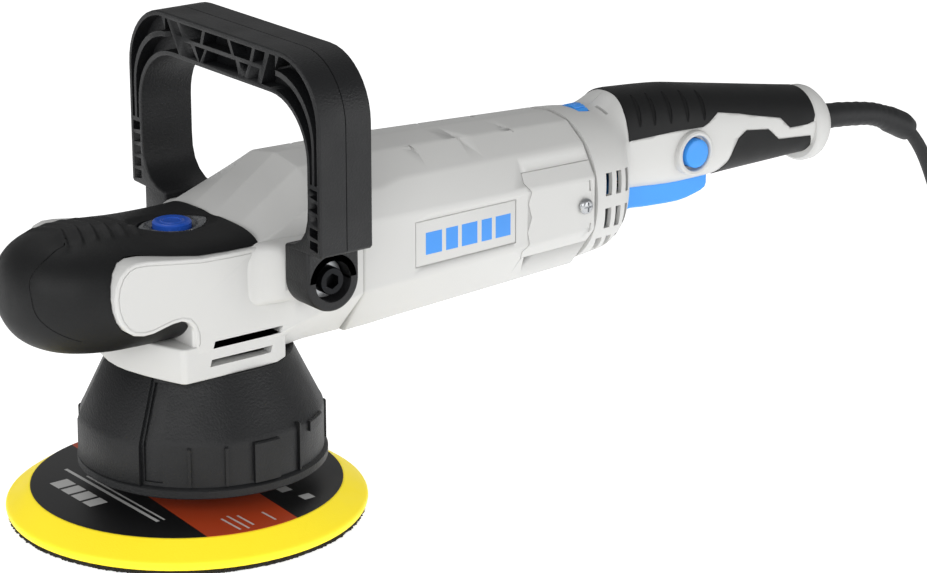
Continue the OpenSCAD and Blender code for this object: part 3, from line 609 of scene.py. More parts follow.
collar = extruded("gear_head", both([(-40.5, 0), (-40, 7), (-37.5, 17.5), (-34, 28), (-31.4, 34.6),
                                     (-29.8, 36.1),
                                     (7, 36.1), (14, 35.6), (20, 32.5), (24, 26), (25.6, 18),
                                     (26, 0)]), 69, 83.8)
modified(collar, "BEVEL", width=0.9 * MM, segments=3, limit_method="ANGLE", angle_limit=0.3)
neck = faceted("neck", [
    (-26, [(0, 119), (17, 119), (33, 118.6), (35.6, 117), (35.6, 84), (30, 76)]),
    (2.6, [(0, 119.6), (17, 119.6), (34.2, 119.2), (35.6, 118), (35.6, 80), (30, 73)]),
    (7.8, [(0, 124.2), (17, 123.2), (34.6, 120.8), (36.1, 118), (36.1, 79), (28, 71)]),
    (38, [(0, 145.3), (16.5, 142.6), (33.4, 132.2), (36.4, 122.4), (36.4, 86.6), (19, 69.6)]),
    (57, [(0, 145), (16, 142.4), (31.2, 132.6), (36.3, 120.5), (36.2, 90), (18, 69.3)])], 1.2)
panel_line = [
    (12, 120.4), (4, 119.6), (-8, 119.7), (-20.7, 120.1), (-34, 121.9), (-46, 123.7),
    (-51.5, 123.9),
    (-55.4, 122.6), (-58.6, 119.6), (-60.6, 115.4), (-61.4, 110.4), (-60.9, 105.2), (-59.3, 100.6),
    (-56.6, 96.8), (-53, 94.3), (-48.6, 93.3), (-44, 93.5), (-39, 94.7), (-35, 95.6), (-31, 95.8),
    (-28, 94.7), (-25.9, 92.2), (-24.8, 88.8), (-24.7, 85.2), (-24.7, 80), (12, 80)]
head_parts = [collar, neck]
for side in (-1, 1):
    panel = extruded("panel", panel_line, *span(side, 27, 36.12), "Y")
    modified(panel, "BEVEL", width=0.8 * MM, segments=3, limit_method="ANGLE", angle_limit=0.6)
    line = extruded("line", inward(panel_line, 1.5), *span(side, 35.8, 38), "Y")
    carved(line, extruded("inner", inward(panel_line, 2.0), -39, 39, "Y"),
           box("clear", (2, -40, 70), (20, 40, 130)), box("clear", (-30, -40, 70), (20, 40, 84)))
    carved(panel, line)
    rings = []
    for x, out, low, high in [(-1, 35.9, 94, 118), (2, 36.6, 94, 119.4), (5, 38.2, 94.2, 120.4),
                              (8, 40.5, 94.6, 121),
                              (10.6, 42.6, 95, 121.2), (13, 43.8, 95, 121.2), (36, 43.8, 95, 121.2),
                              (40, 42.9, 95, 121), (44, 40.2, 95, 120), (48, 35.9, 96, 119)]:
        ring = []
        for k in range(32):
            c, d = math.cos(math.tau * k / 32), math.sin(math.tau * k / 32)
            c, d = math.copysign(abs(c) ** 0.45, c), math.copysign(abs(d) ** 0.45, d)
            ring.append(Vector((x, side * (30 + c * (out - 30)),
                                (low + high) / 2 + d * (high - low) / 2)) * MM)
        rings.append(ring)
    cheek = ring_loft("cheek", rings)
    modified(cheek, "TRIANGULATE")
    head_parts += [panel, cheek]
cutters = [rod("bore", "Z", (0, 0, 68), 34.3, 6), rod("bore", "Z", (0, 0, 67.5), 29.5, 41, 72),
           rod("bore", "X", (1, 0, MOTOR_Z), 10.5, 33, 50),
           rod("bore", "X", (31, 0, MOTOR_Z), 17.3, 18, 62),
           rod("bore", "X", (47.9, 0, MOTOR_Z), 34.8, 12, 74),
           rod("bore", "Z", (0, 0, 108), 8, 9.5, 34),
           rod("bore", "Z", (LOCK_X, 0, 100), 2.3, 30, 22),
           rod("bore", "Z", (LOCK_X, 0, 117.6), 8.4, 12, 46),
           box("hollow", (-56, -27.3, 90), (-24, 27.3, 117.2))]
for side in (-1, 1):
    for tail, nose_x, z in ((-16.9, 16.6, 83.0), (-18.6, 11.6, 75.6)):
        cutters.append(extruded("vent", [(tail + 0.9, z + 1.45), (nose_x, z + 1.45),
                                         (nose_x - 0.9, z - 1.45),
                                         (tail, z - 1.45)], *span(side, 28, 46), "Y"))
    cutters.append(rod("bore", "Y", (BAIL_X, span(side, 26, 46)[0], BAIL_Z), 4, 20, 32))
head = joined(cut_each(head_parts, cutters))
modified(head, "WEIGHTED_NORMAL", keep_sharp=True)

# Moulded casing: light grey, with the fine even grain of an eroded mould.
casing, casing_shader = new_material("glass_filled_nylon_casing", "#cfcfcd", 0.42,
                                     Specular_IOR_Level=0.42)
casing_place = grain(casing, casing_shader, 0.45, 0.05, 0.35, 3.0)
uneven(casing, casing_shader, casing_place, 30, 0.36, 0.5)
settle(head, casing, "housing", "grey_casing", "gear_head", smooth=26)


# ---- Nose cover ----
# Soft black overmould on the nose, worn as a front grip. Round at the front and flatter
# round the lock button, with low ribs across its top and a parting line round its end.
nose_stations = [
    # x, half width, top, bottom, roundness above, roundness below
    (-88.88, 1.0, 108.5, 105.5, 2.0, 2.0), (-88.6, 5.5, 112.3, 101.6, 2.0, 2.0),
    (-87.8, 10.2, 116.2, 97.2, 2.0, 2.0),
    (-86, 15.6, 120.4, 93.2, 2.0, 2.0), (-82.6, 21.2, 124.6, 88.8, 2.05, 2.1),
    (-77.5, 26.2, 127.8, 85.4, 2.1, 2.15),
    (-71, 30.2, 129.9, 83.0, 2.15, 2.2), (-63, 33.0, 130.9, 81.6, 2.25, 2.3),
    (-54, 34.8, 130.7, 80.9, 2.4, 2.4),
    (-45, 35.4, 129.6, 80.9, 2.6, 2.5), (-36, 35.7, 127.9, 81.1, 3.0, 2.6),
    (-27, 35.9, 126.1, 81.6, 3.6, 2.7),
    (-18, 36.1, 124.9, 82.4, 4.2, 2.8), (-9, 36.3, 124.3, 83.2, 4.6, 2.8),
    (0, 36.4, 124.3, 83.2, 4.6, 2.8),
    (8.2, 36.4, 124.9, 83.2, 4.4, 2.8)]


def between(stations, x):
    x = min(max(x, stations[0][0]), stations[-1][0])
    i = 0
    while i < len(stations) - 2 and stations[i + 1][0] < x:
        i += 1
    f = (x - stations[i][0]) / (stations[i + 1][0] - stations[i][0])
    out = []
    for c in range(1, len(stations[0])):
        v = [stations[min(max(j, 0), len(stations) - 1)][c] for j in (i - 1, i, i + 1, i + 2)]
        s = [stations[min(max(j, 0), len(stations) - 1)][0] for j in (i - 1, i, i + 1, i + 2)]
        gap = s[2] - s[1]
        m0 = (v[2] - v[0]) / (s[2] - s[0]) * gap
        m1 = (v[3] - v[1]) / (s[3] - s[1]) * gap
        out.append(v[1] * (2 * f ** 3 - 3 * f ** 2 + 1) + m0 * (f ** 3 - 2 * f ** 2 + f)
                   + v[2] * (3 * f ** 2 - 2 * f ** 3) + m1 * (f ** 3 - f ** 2))
    return out


NOSE_Z = 107


def nose_point(x, angle):
    half, top, bottom, above, below = between(nose_stations, x)
    rise = (top - NOSE_Z) if math.sin(angle) > 0 else (NOSE_Z - bottom)
    power = above if math.sin(angle) > 0 else below
    c, s = abs(math.cos(angle)), abs(math.sin(angle))
    reach = ((c / half) ** power + (s / rise) ** power) ** (-1 / power)
    y, z = reach * math.cos(angle), reach * math.sin(angle)
    outward = 0.0
    for n in range(6):
        ahead = x + 63.5 - 6.65 * n + 0.38 * abs(y)
        rib = eased(ahead, -3.6, 0) if ahead < 0 else 1 - eased(ahead, 0, 1)
        outward += 0.8 * rib * eased(17.5 - abs(y), 0, 5) * (z > 0)
    lens = math.hypot((x - LOCK_X) / 19.5, y / 13.5)
    if z > 0 and lens < 1.1:
        outward -= 1.1 * eased(1.1 - lens, 0, 0.25)
    scale = 1 + outward / max(math.hypot(y, z), 4)
    return Vector((x, y * scale, NOSE_Z + z * scale)) * MM


nose_stops = [-88.88, -88.75, -88.5, -88.1, -87.6, -87, -86.2] + [-85.4 + 0.9 * k
                                                                  for k in range(22)]
nose_stops += [-65.8 + 0.5 * k for k in range(80)] + [-25.9 + 1.1 * k for k in range(31)]
nose_count = 176
nose = ring_loft("nose_cover", [
    [nose_point(x, math.tau * k / nose_count) for k in range(nose_count)] for x in nose_stops])
collar_top = extruded("cut", both([(-60, 0), (-60, 60), (-25.4, 60), (20, 60), (20, 0)]), 60, 83.6)
carved(nose, collar_top)
carved(nose, extruded("cut", inward(panel_line, -0.35), -45, 45, "Y"))


# A round bar along a path, with its own radius at each point.
def tube(name, points, radii, sides=8):
    rings = []
    for n, point in enumerate(points):
        ahead = points[min(n + 1, len(points) - 1)] - points[max(n - 1, 0)]
        turn = ahead.to_track_quat("Z", "Y")
        rings.append([point + turn @ Vector((math.cos(math.tau * k / sides),
                                             math.sin(math.tau * k / sides), 0))
                      * radii[n] * MM for k in range(sides)])
    return ring_loft(name, rings)


def nose_angle(x, z):
    low, high = math.pi / 2, math.pi * 1.5
    for n in range(24):
        middle = (low + high) / 2
        low, high = (middle, high) if nose_point(x, middle).z > z * MM else (low, middle)
    return low


def lens_outline(length, width, count=14):
    radius = (length ** 2 + width ** 2) / (2 * width)
    reach = math.asin(length / radius)
    arc = [(radius * math.sin(a), radius * math.cos(a) - radius + width)
           for a in (reach * (2 * k / count - 1) for k in range(count + 1))]
    return [(LOCK_X + x, y) for x, y in arc[:-1]] + [(LOCK_X - x, -y) for x, y in arc[:-1]]


carved(nose, extruded("hole", lens_outline(16.7, 10.9), 115, 140),
       box("hollow", (-72, -17, 92), (-32, 17, 119)),
       box("hollow", (-26, -40, 80), (20, 40, 119.7)))
for side in (-1, 1):
    seam = []
    for k in range(29):
        z = 130.3 - 1.33 * k
        x = -86 + 0.0024 * abs(z - 110) ** 3 + 0.012 * (z < 110) * (110 - z) ** 2
        angle = nose_angle(x, z)
        seam.append(nose_point(x, angle if side < 0 else math.pi - angle))
    carved(nose, tube("seam", seam, [0.34] * len(seam)))
soft_black, soft_shader = new_material("soft_black_overmould", "#0b0c0d", 0.52,
                                       Specular_IOR_Level=0.3)
soft_place = grain(soft_black, soft_shader, 0.42, 0.16, 0.55, 2.0)
uneven(soft_black, soft_shader, soft_place, 22, 0.48, 0.62)
settle(nose, soft_black, "housing", "soft_grip", "head_grip", smooth=32)


# ---- Lock bezel ----
# Grey metal-flake ring round the lock button, dished on its inner side.
bezel = extruded("lock_bezel_ring", lens_outline(16.5, 10.7), 121.5, 123.9)
modified(bezel, "BEVEL", width=0.7 * MM, segments=3, limit_method="ANGLE", angle_limit=0.9)
carved(bezel, rod("hole", "Z", (LOCK_X, 0, 118), 8.25, 9),
       spun("dish", [(0, 122.6), (8.2, 122.6), (10.4, 123.6), (10.8, 125), (0, 125)],
            (LOCK_X, 0, 0)))
flake, flake_shader = new_material("metal_flake_paint", "#77797c", 0.3, Metallic=0.75)
flake_place = add_node(flake, "ShaderNodeTexCoord").outputs["Object"]
flake_cells = add_node(flake, "ShaderNodeTexVoronoi", None, Vector=flake_place, Scale=1900.0)
flake_tone = add_node(flake, "ShaderNodeMapRange", None, i0=flake_cells.outputs[1], i1=0.2, i2=0.9,
                      i3=0.12, i4=0.6)
flake.node_tree.links.new(flake_tone.outputs[0], flake_shader.inputs["Roughness"])
settle(bezel, flake, "housing", "blue_plastic", "lock_bezel")


# ---- Spindle lock button ----
# Blue acetal button with a shallow dish and a raised ring mark; its pin drops into a hole in
# the crown gear.
button = spun("spindle_lock_button", [
    (0, 101.5), (1.8, 101.5), (2.1, 101.9), (2.1, 121.8), (8, 121.8), (8, 124.8), (7.6, 125.3),
    (6.9, 125.6),
    (5.4, 125.35), (4.9, 125.35), (4.6, 125.55), (3.9, 125.55), (3.6, 125.25), (0, 125.1)],
              (LOCK_X, 0, 0))
deep_blue, deep_shader = new_material("blue_acetal", "#1f57c4", 0.36, Specular_IOR_Level=0.5)
deep_place = grain(deep_blue, deep_shader, 0.5, 0.03, 0.3)
uneven(deep_blue, deep_shader, deep_place, 5, 0.28, 0.42)
settle(button, deep_blue, "spindle_lock", "blue_plastic", "spindle_lock_button")


# ---- Bail handle ----
# Black glass-filled nylon loop moulded in one piece. Its front is cored out between thin
# ribs, and a parting line runs round the middle of its outer side.
def bail_rail(y, z, radius, end):
    arc = [(y + radius * math.sin(a), z + radius * math.cos(a))
           for a in (math.pi / 20 * k for k in range(11))]
    return arc + [(y + radius, z + (end - z) * k / 3) for k in (1, 2, 3)]


def mirrored(points):
    return points + [(-a, b) for a, b in reversed(points) if a != 0]


bail_outer = bail_rail(42.6, 173, 27, 122.6) + [(68.6, 121.5), (44.5, 120.4)]
bail_inner = [(44.5, 121.9), (50.5, 123.2), (55.2, 126), (58.4, 130), (60, 135)]
bail_inner += reversed(bail_rail(36, 157.6, 24.4, 141))
bail_half = bail_outer + bail_inner
loop = extruded("bail_handle_moulding", mirrored([(0, 200)] + bail_half + [(0, 182)]), 12.5, 37.5,
                "X")
modified(loop, "BEVEL", width=1.9 * MM, segments=4, limit_method="ANGLE", angle_limit=0.9)


def bail_pocket(points, depth=6.5):
    return extruded("pocket", points, 11, 12.5 + depth, "X")


bail_pockets = []
upper_row = [(37, 31, 27, 31.5), (29, 12, 14, 22), (10, -6, -9, 12), (-8, -24, -22, -11),
             (-26, -33, -31, -24)]
lower_row = [(27, 21, 16, 24), (18, 10.5, 14.2, 14.8), (9, -12, -14, 12), (-14.5, -21, -18, -17.4),
             (-23, -29, -27, -20)]
for row, low, high in ((upper_row, 191.9, 197.6), (lower_row, 184.2, 190.2)):
    for a, b, c, d in row:
        bail_pockets.append(bail_pocket([(a, high), (b, high), (c, low), (d, low)]))
bail_pockets.append(bail_pocket([(40, 197.6), (38.6, 197.6), (30, 184.2), (40, 184.2)]))
bail_pockets.append(bail_pocket([(-40, 197.6), (-36, 197.6), (-30, 184.2), (-40, 184.2)]))
for side in (-1, 1):
    for a, b in ((bail_rail(42.6, 173, 24.9, 150.5), bail_rail(39.6, 165.8, 26.1, 150.5)),
                 (bail_rail(39.2, 164.8, 24.9, 150.5), bail_rail(36, 157.6, 26.5, 150.5))):
        edge = a + list(reversed(b))
        bail_pockets.append(bail_pocket([(side * y, z) for y, z in edge]))
    for k in range(5):
        z = 123.4 + 5.3 * k
        bail_pockets.append(bail_pocket([(side * y, w) for y, w in
                                         ((62, z + 0.8), (67.4, z), (67.4, z + 4), (62, z + 4.2))],
                                        5))
split = extruded("parting", mirrored([(0, 203)] + bail_rail(42.6, 173, 30, 118) + [(69.25, 118)]
                                     + list(reversed(bail_rail(42.6, 173, 26.65, 122)))
                                     + [(0, 199.65)]), 24.8, 25.2, "X")
bail_parts = [loop]
bail_cutters = bail_pockets + [split]
for side in (-1, 1):
    low, high = span(side, 44, 60)
    leg = box("leg", (12.5, low, 107), (37.5, high, 122.2), 1.2)
    foot = rod("foot", "Y", (BAIL_X, low, BAIL_Z), 12.5, 16, 72)
    modified(foot, "BEVEL", width=1.2 * MM, segments=3, limit_method="ANGLE", angle_limit=0.9)
    bail_parts += [leg, foot]
    bail_cutters += [rod("hole", "Y", (BAIL_X, span(side, 40, 74)[0], BAIL_Z), 4.1, 34, 36),
                     rod("hole", "Y", (BAIL_X, span(side, 52, 74)[0], BAIL_Z), 8.6, 22, 60)]
bail = joined(cut_each(bail_parts, bail_cutters))
modified(bail, "WEIGHTED_NORMAL", keep_sharp=True)
settle(bail, nylon, "bail", "black_moulding", "bail_handle", smooth=32)


# ---- Bail bolts and washers ----
# M8 socket-head screws, blackened, each on a bright plain washer in the leg's counterbore.
def both_ways(make):
    return joined([make(-1), make(1)])


def spun_at_side(name, profile, x, z, side, steps=48):
    return spun(name, [(r, side * t) for r, t in profile], (x, 0, z), "Y", steps)


def socket_screw(side):
    bolt = spun_at_side("bail_screws", [(0, 29), (3.4, 29), (3.95, 29.8), (3.95, 53.7), (5.3, 53.7),
                                        (5.6, 54), (5.6, 58.6),
                                        (5.3, 59.2), (0, 59.2)], BAIL_X, BAIL_Z, side)
    hexagon = [(BAIL_X + 3.3 * math.cos(a), BAIL_Z + 3.3 * math.sin(a))
               for a in (math.tau * (k + 0.5) / 6 for k in range(6))]
    carved(bolt, extruded("socket", hexagon, *span(side, 55.5, 62), "Y"))
    return bolt


bolts = both_ways(socket_screw)
black_steel, black_steel_shader = new_material("blackened_steel", "#1c1d1f", 0.38, Metallic=0.85)
grain(black_steel, black_steel_shader, 0.6, 0.02, 0.3)
settle(bolts, black_steel, "housing", "black_steel", "bail_bolts")
washers = both_ways(lambda side: spun_at_side("bail_washer_pair",
                                              [(4.3, 52.1), (7.9, 52.1), (8.1, 52.4), (8.1, 53.4),
                                               (7.9, 53.65),
                                                                   (4.5, 53.65), (4.3, 53.4)],
                                              BAIL_X, BAIL_Z, side))
bright_steel, bright_steel_shader = new_material("turned_bright_steel", "#b9bbbd", 0.28,
                                                 Metallic=1.0)
bright_place = grain(bright_steel, bright_steel_shader, 0.25, 0.015, 0.4, 3.0)
uneven(bright_steel, bright_steel_shader, bright_place, 6, 0.22, 0.4)
settle(washers, bright_steel, "housing", "bright_steel", "bail_washers")


# ---- Motor housing ----
# The casing's middle part, a tapered nylon tube with broad flats. A line of three short
# grooves is cut in its upper flat, and its left and right sides each have a badge recess.
def motor_form(name, grow, start=57.3, end=182.6):
    sections = []
    for x, half in [
            (57, [(0, 145.0), (16, 142.5), (30.7, 132.2), (35.7, 120), (35.7, 90), (20, 68.9)]),
            (70, [(0, 144.8), (15.5, 142.4), (30.4, 131.3), (35.4, 119.6), (35.4, 90.4),
                  (19.8, 69.2)]),
            (82, [(0, 144.5), (15, 142.3), (28.2, 133.1), (35.1, 119.2), (35.1, 90.6),
                  (19.5, 69.8)]),
            (182.6, [(0, 139.6), (13.5, 138), (24.2, 130.4), (33.1, 116.6), (33.1, 93.4),
                     (17.2, 73.6)])]:
        moved = []
        for y, z in half:
            away = Vector((y, z - MOTOR_Z))
            away *= 1 + grow / away.length
            moved.append((away.x, MOTOR_Z + away.y))
        sections.append((min(max(x, start), end), moved))
    return faceted(name, sections, 1.3)


motor = motor_form("motor_casing", 0)
carved(motor, motor_form("hollow", -2.5, 55, 178.5), rod("bore", "X", (170, 0, MOTOR_Z), 8.4, 20,
                                                         40))


COVER_SCREW_X, COVER_SCREW_Z = 176, 105
FLAT_X, FLAT_Y, FLAT_TAPER = 82, 35.1, 0.0199  # the side flat: its start, half width and taper


# A slab on the flat side of the casing, between two heights from its surface.
def on_side(name, outline, side, low, high):
    return ring_loft(name, [[Vector((x, side * (FLAT_Y - (x - FLAT_X) * FLAT_TAPER + h), z)) * MM
                             for x, z in outline]
                            for h in (low, high)])


def side_cover(name, side, grow):
    edge = [(144.2, 86.6), (142.6, 90.5), (145.6, 93.5), (144.4, 99), (146.6, 105), (144.8, 111.5),
            (146.6, 116.5),
            (143.4, 120.4), (143.8, 124.3)]
    outline = [(x - grow, z) for x, z in edge] + [(181.4 + grow, 123.4 + grow),
                                                  (181.4 + grow, 87 - grow)]
    outline[0] = (outline[0][0], outline[0][1] - grow)
    outline[8] = (outline[8][0], outline[8][1] + grow)
    return extruded(name, outline, *span(side, 15, 45), "Y")


motor_cutters = []
for side in (-1, 1):
    recess = [(84, 95), (138, 95.6), (138, 115), (84, 115)]
    motor_cutters.append(on_side("badge_recess", recess, side, -0.7, 4))
    window = side_cover("window", side, 0.22)
    carved(window, motor_form("inner", -2.45))
    motor_cutters.append(window)
    motor_cutters.append(rod("screw_hole", "Y", (COVER_SCREW_X, span(side, 20, 36)[0],
                                                 COVER_SCREW_Z), 1.6, 16, 20))
    for x, tail, top, low in ((96.6, 12.5, 141.6, 138.6), (122, 11.5, 141.3, 138.2),
                              (149, 6.5, 141.2, 138.6)):
        motor_cutters.append(tube("groove", [Vector((x - 1.6, side * tail, top)) * MM,
                                             Vector((x, side * (tail + 4.5), (top + low) / 2)) * MM,
                                             Vector((x + 1.8, side * (tail + 9), low - 0.6)) * MM],
                                  [0.5, 1.0, 0.35]))
for cutter in motor_cutters:
    carved(motor, cutter)
modified(motor, "WEIGHTED_NORMAL", keep_sharp=True)
settle(motor, casing, "housing", "grey_casing", "motor_housing", smooth=26)


# ---- Badge plates ----
# Thin moulded plates glued into the side recesses. The maker's lettering is left out: five
# plain blue blocks stand where it would be.
def badge_plate(side):
    plate = on_side("badge_plate_pair", [(84.4, 95.4), (137.6, 96), (137.6, 114.6), (84.4, 114.6)],
                    side, -0.68, -0.1)
    modified(plate, "BEVEL", width=0.25 * MM, segments=2, limit_method="ANGLE", angle_limit=0.9)
    return plate


badges = both_ways(badge_plate)
badge, badge_shader = new_material("printed_badge_plate", "#cfcfcd", 0.36, Specular_IOR_Level=0.45)
badge_place = add_node(badge, "ShaderNodeTexCoord").outputs["Object"]
badge_split = add_node(badge, "ShaderNodeSeparateXYZ", None, Vector=badge_place)
badge_mask = None
for start, width in ((89.5, 8.6), (100.2, 6.4), (108.6, 8.4), (119.2, 5.6), (126.8, 8.2)):
    one = box_mask(badge, badge_split.outputs[0], badge_split.outputs[2],
                   (start + width / 2, 104.6), (width / 2, 4.8))
    badge_mask = one if badge_mask is None else maths(badge, "MAXIMUM", badge_mask, one)
badge_mix = add_node(badge, "ShaderNodeMix", {"data_type": "RGBA"}, i0=badge_mask)
badge_mix.inputs[6].default_value = linear("#cfcfcd")
badge_mix.inputs[7].default_value = linear("#3f93ea")
badge.node_tree.links.new(badge_mix.outputs[2], badge_shader.inputs["Base Color"])
settle(badges, badge, "housing", "grey_casing", "badge_plates")


# ---- Brush covers ----
# One cover each side over the carbon brushes. Its front edge is wavy, and it is held at the
# rear by one screw.
def brush_cover(side):
    cover = side_cover("brush_cover_pair", side, 0)
    carved(cover, motor_form("outside", 0.12), how="INTERSECT")
    carved(cover, motor_form("inside", -2.2), rod("hole", "Y",
                                                  (COVER_SCREW_X, span(side, 20, 36)[0],
                                                   COVER_SCREW_Z), 1.7, 16, 20),
           on_side("tick", [(178.7, 111), (179.5, 111), (179.2, 116), (178.4, 116)], side, -0.9, 3),
           on_side("tick", [(178.4, 92), (179.2, 92), (179.9, 96.6), (179.1, 96.6)], side, -0.9, 3))
    return cover


covers = both_ways(brush_cover)
modified(covers, "WEIGHTED_NORMAL", keep_sharp=True)
settle(covers, casing, "housing", "grey_casing", "brush_covers", smooth=26)


# ---- Cover screws ----
# Bright pan-head screws with a cross recess, one in each brush cover.
def cross_screw(name, side, x, z, profile, top, radius):
    screw = spun_at_side(name, profile, x, z, side, 40)
    low, high = span(side, top - 1, top + 2)
    for a, b in ((radius * 0.62, 0.42), (0.42, radius * 0.62)):
        carved(screw, box("cross", (x - a, low, z - b),
                          (x + a, high, z + b)))
    return screw


cover_screw_profile = [(0, 24.2), (1.4, 24.4), (1.46, 34), (1.46, 34.1), (3.4, 34.1), (3.5, 34.5),
                       (3.1, 35.4), (2.2, 36), (0, 36.2)]
screws = both_ways(lambda side: cross_screw(
    "cover_screw_pair", side, COVER_SCREW_X, COVER_SCREW_Z, cover_screw_profile, 36, 3.5))
settle(screws, bright_steel, "housing", "bright_steel", "cover_screws")


# ---- Rear shells ----
# Two grey nylon halves, screwed together along the middle, that hold the switch and make the
# grip. The drum behind the motor has air vents, and a heavy ring ends the grip.
rear_stations = [
    # x, half width, top, bottom, roundness
    (183.2, 33.9, 140.0, 72.2, 2.15), (192, 33.4, 139.2, 73.0, 2.15),
    (199.5, 32.6, 138.2, 74.2, 2.15),
    (203.5, 30.6, 138.0, 76.6, 2.15), (206.5, 26.8, 138.8, 81.4, 2.2),
    (209.5, 22.4, 140.5, 88, 2.25),
    (212.5, 19.4, 142.3, 94.2, 2.35), (215.5, 18.5, 143.3, 97.3, 2.4),
    (222, 18.5, 143.1, 97.5, 2.4),
    (246, 18.4, 141.2, 95.6, 2.4), (262, 18.2, 138.6, 95.5, 2.4), (280, 17.6, 135.5, 95.9, 2.35),
    (305, 16.6, 131.2, 96.1, 2.25), (326, 15.7, 127.7, 96.2, 2.1), (331, 15.5, 126.9, 96.2, 2.1)]


def rear_point(x, angle, grow):
    half, top, bottom, power = between(rear_stations, x)
    middle, rise = (top + bottom) / 2, (top - bottom) / 2
    c, s = abs(math.cos(angle)), abs(math.sin(angle))
    reach = ((c / half) ** power + (s / rise) ** power) ** (-1 / power) + grow
    return Vector((x, reach * math.cos(angle), middle + reach * math.sin(angle))) * MM


def rear_form(name, grow, start=183.2, end=331.0):
    stops = [183.2 + 1.3 * k for k in range(26)] + [219 + 4 * k for k in range(28)] + [331.0]
    stops = [start] + [x for x in stops if start + 0.4 < x < end - 0.4] + [end]
    return ring_loft(name, [[rear_point(x, math.tau * (k + 0.5) / 72, grow) for k in range(72)]
                            for x in stops])


LOCK_ON = (251, 0, 112.6)
CORD_Z = 109.2
shell_screw_places = ((219, 114, 14), (277, 119.5, 14), (320, 110.3, 11.5))  # x, z, seat

top_line = [(210, 150), (214.6, 143.6), (213.4, 137), (213, 131), (213, 124), (240, 124),
            (249, 123.6), (257, 123.2),
            (260.5, 124.4), (267, 128), (280, 125.3), (288, 123.2), (306, 119), (312, 113.4),
            (323, 113),
            (327.4, 113.8), (328.6, 116.5), (328.8, 150)]
insert_line = [(269, 90), (271, 96.5), (275, 103), (277, 110), (279.2, 114.2), (284, 117),
               (298, 115), (305, 109),
               (320, 107.6), (326, 107), (328.4, 101.5), (328.6, 90)]


def across(name, outline, low=-60, high=60):
    return extruded(name, outline, low, high, "Y")


shell = rear_form("rear_shell_left_half", 0)
carved(shell, rear_form("hollow", -2.3, 186, 327), rod("bore", "X", (180, 0, MOTOR_Z), 26.3, 9, 58))
for line in (top_line, insert_line):
    skin_cut = across("skin_cut", inward(line, -0.12) if line is insert_line else line)
    carved(skin_cut, rear_form("core", -1.3, 183.2, 334))
    carved(shell, skin_cut)
ring = spun("grip_ring", [(8, 329), (16.4, 329), (17.5, 329.9), (17.8, 331.2), (17.8, 334.2),
                          (17.2, 336), (15.6, 338.2),
                          (14.1, 340), (12.2, 340.8), (8, 341)], (0, 0, CORD_Z), "X", 96)
boss = spun("button_boss", [(8, -20.3), (8.3, -20.9), (9.3, -21.1), (10.1, -20.6), (10.4, -19.6),
                            (10.4, -15.6), (8, -15.6)],
            LOCK_ON, "Y", 64)
openings = [box("trigger_slot", (207, -7.8, 78), (273, 7.8, 112)),
            rod("button_hole", "Y", (LOCK_ON[0], -30, LOCK_ON[2]), 7, 20, 60),
            box("dial_slot", (193.9, -7, 117), (200.5, 7, 150)),
            box("mark", (205.2, -12, 134), (206.6, -4, 152)),
            rod("cord_hole", "X", (328, 0, CORD_Z), 8.1, 14, 40)]
for x, z, seat in shell_screw_places:
    openings.append(rod("screw_hole", "Y", (x, seat, z), 3.1, 20, 30))
for side in (-1, 1):
    low, high = span(side, 20, 50)
    for row, lean in ((112, 0.12), (96.6, -0.12), (82.5, -0.36)):
        for x, width in ((188.2, 3.6), (194.4, 3.0), (200.2, 2.2)):
            tip = 4.9 if row > 90 else 4.4
            openings.append(across("vent", [(x + lean * tip, row + tip),
                                            (x - lean * tip, row - tip),
                                            (x + width - lean * tip, row - tip),
                                            (x + width + lean * tip, row + tip)], low, high))
cut_each([shell, ring, boss], openings)


def twin(piece):
    deselect()
    piece.select_set(True)
    bpy.context.view_layer.objects.active = piece
    bpy.ops.object.duplicate()
    return bpy.context.object


for name, node, pieces, low, high in (("rear_shell_right_half", "rear_shell_right",
                                       [twin(shell), twin(ring)], -70, 0.07),
                                      ("rear_shell_left_half", "rear_shell_left",
                                       [shell, ring, boss], -0.07, 70)):
    cut_each(pieces, [box("other_side", (150, low, 50), (360, high, 160))])
    half = joined(pieces)
    half.name = half.data.name = name
    modified(half, "WEIGHTED_NORMAL", keep_sharp=True)
    settle(half, casing, "housing", "grey_casing", node, smooth=32)


# ---- Grip covers ----
# Soft black overmould: one piece over the top with five finger grooves a side, and one under
# the rear of the grip, both with zigzag edges.
for name, line, node in (("grip_cover_top", top_line, "grip_top"),
                         ("grip_cover_under", insert_line, "grip_insert")):
    cover = rear_form(name, 0.32, 205, 330.9)
    carved(cover, rear_form("core", -1.2, 204, 333))
    keep = across("keep", inward(line, 0.12))
    carved(cover, keep, how="INTERSECT")
    if node == "grip_insert":
        carved(cover, box("slot", (207, -8.2, 78), (273.4, 8.2, 112)))
    else:
        for side in (-1, 1):
            for x in (221, 229.5, 239, 249, 259):
                path = []
                for k in range(7):
                    angle = math.radians(26 + 7 * k)
                    path.append(rear_point(x - 0.9 + 0.3 * k,
                                           angle if side > 0 else math.pi - angle, 0.5))
                carved(cover, tube("groove", path, [0.5, 1.1, 1.35, 1.4, 1.3, 1.0, 0.5], 10))
    settle(cover, soft_black, "housing", "soft_grip", node, smooth=38)


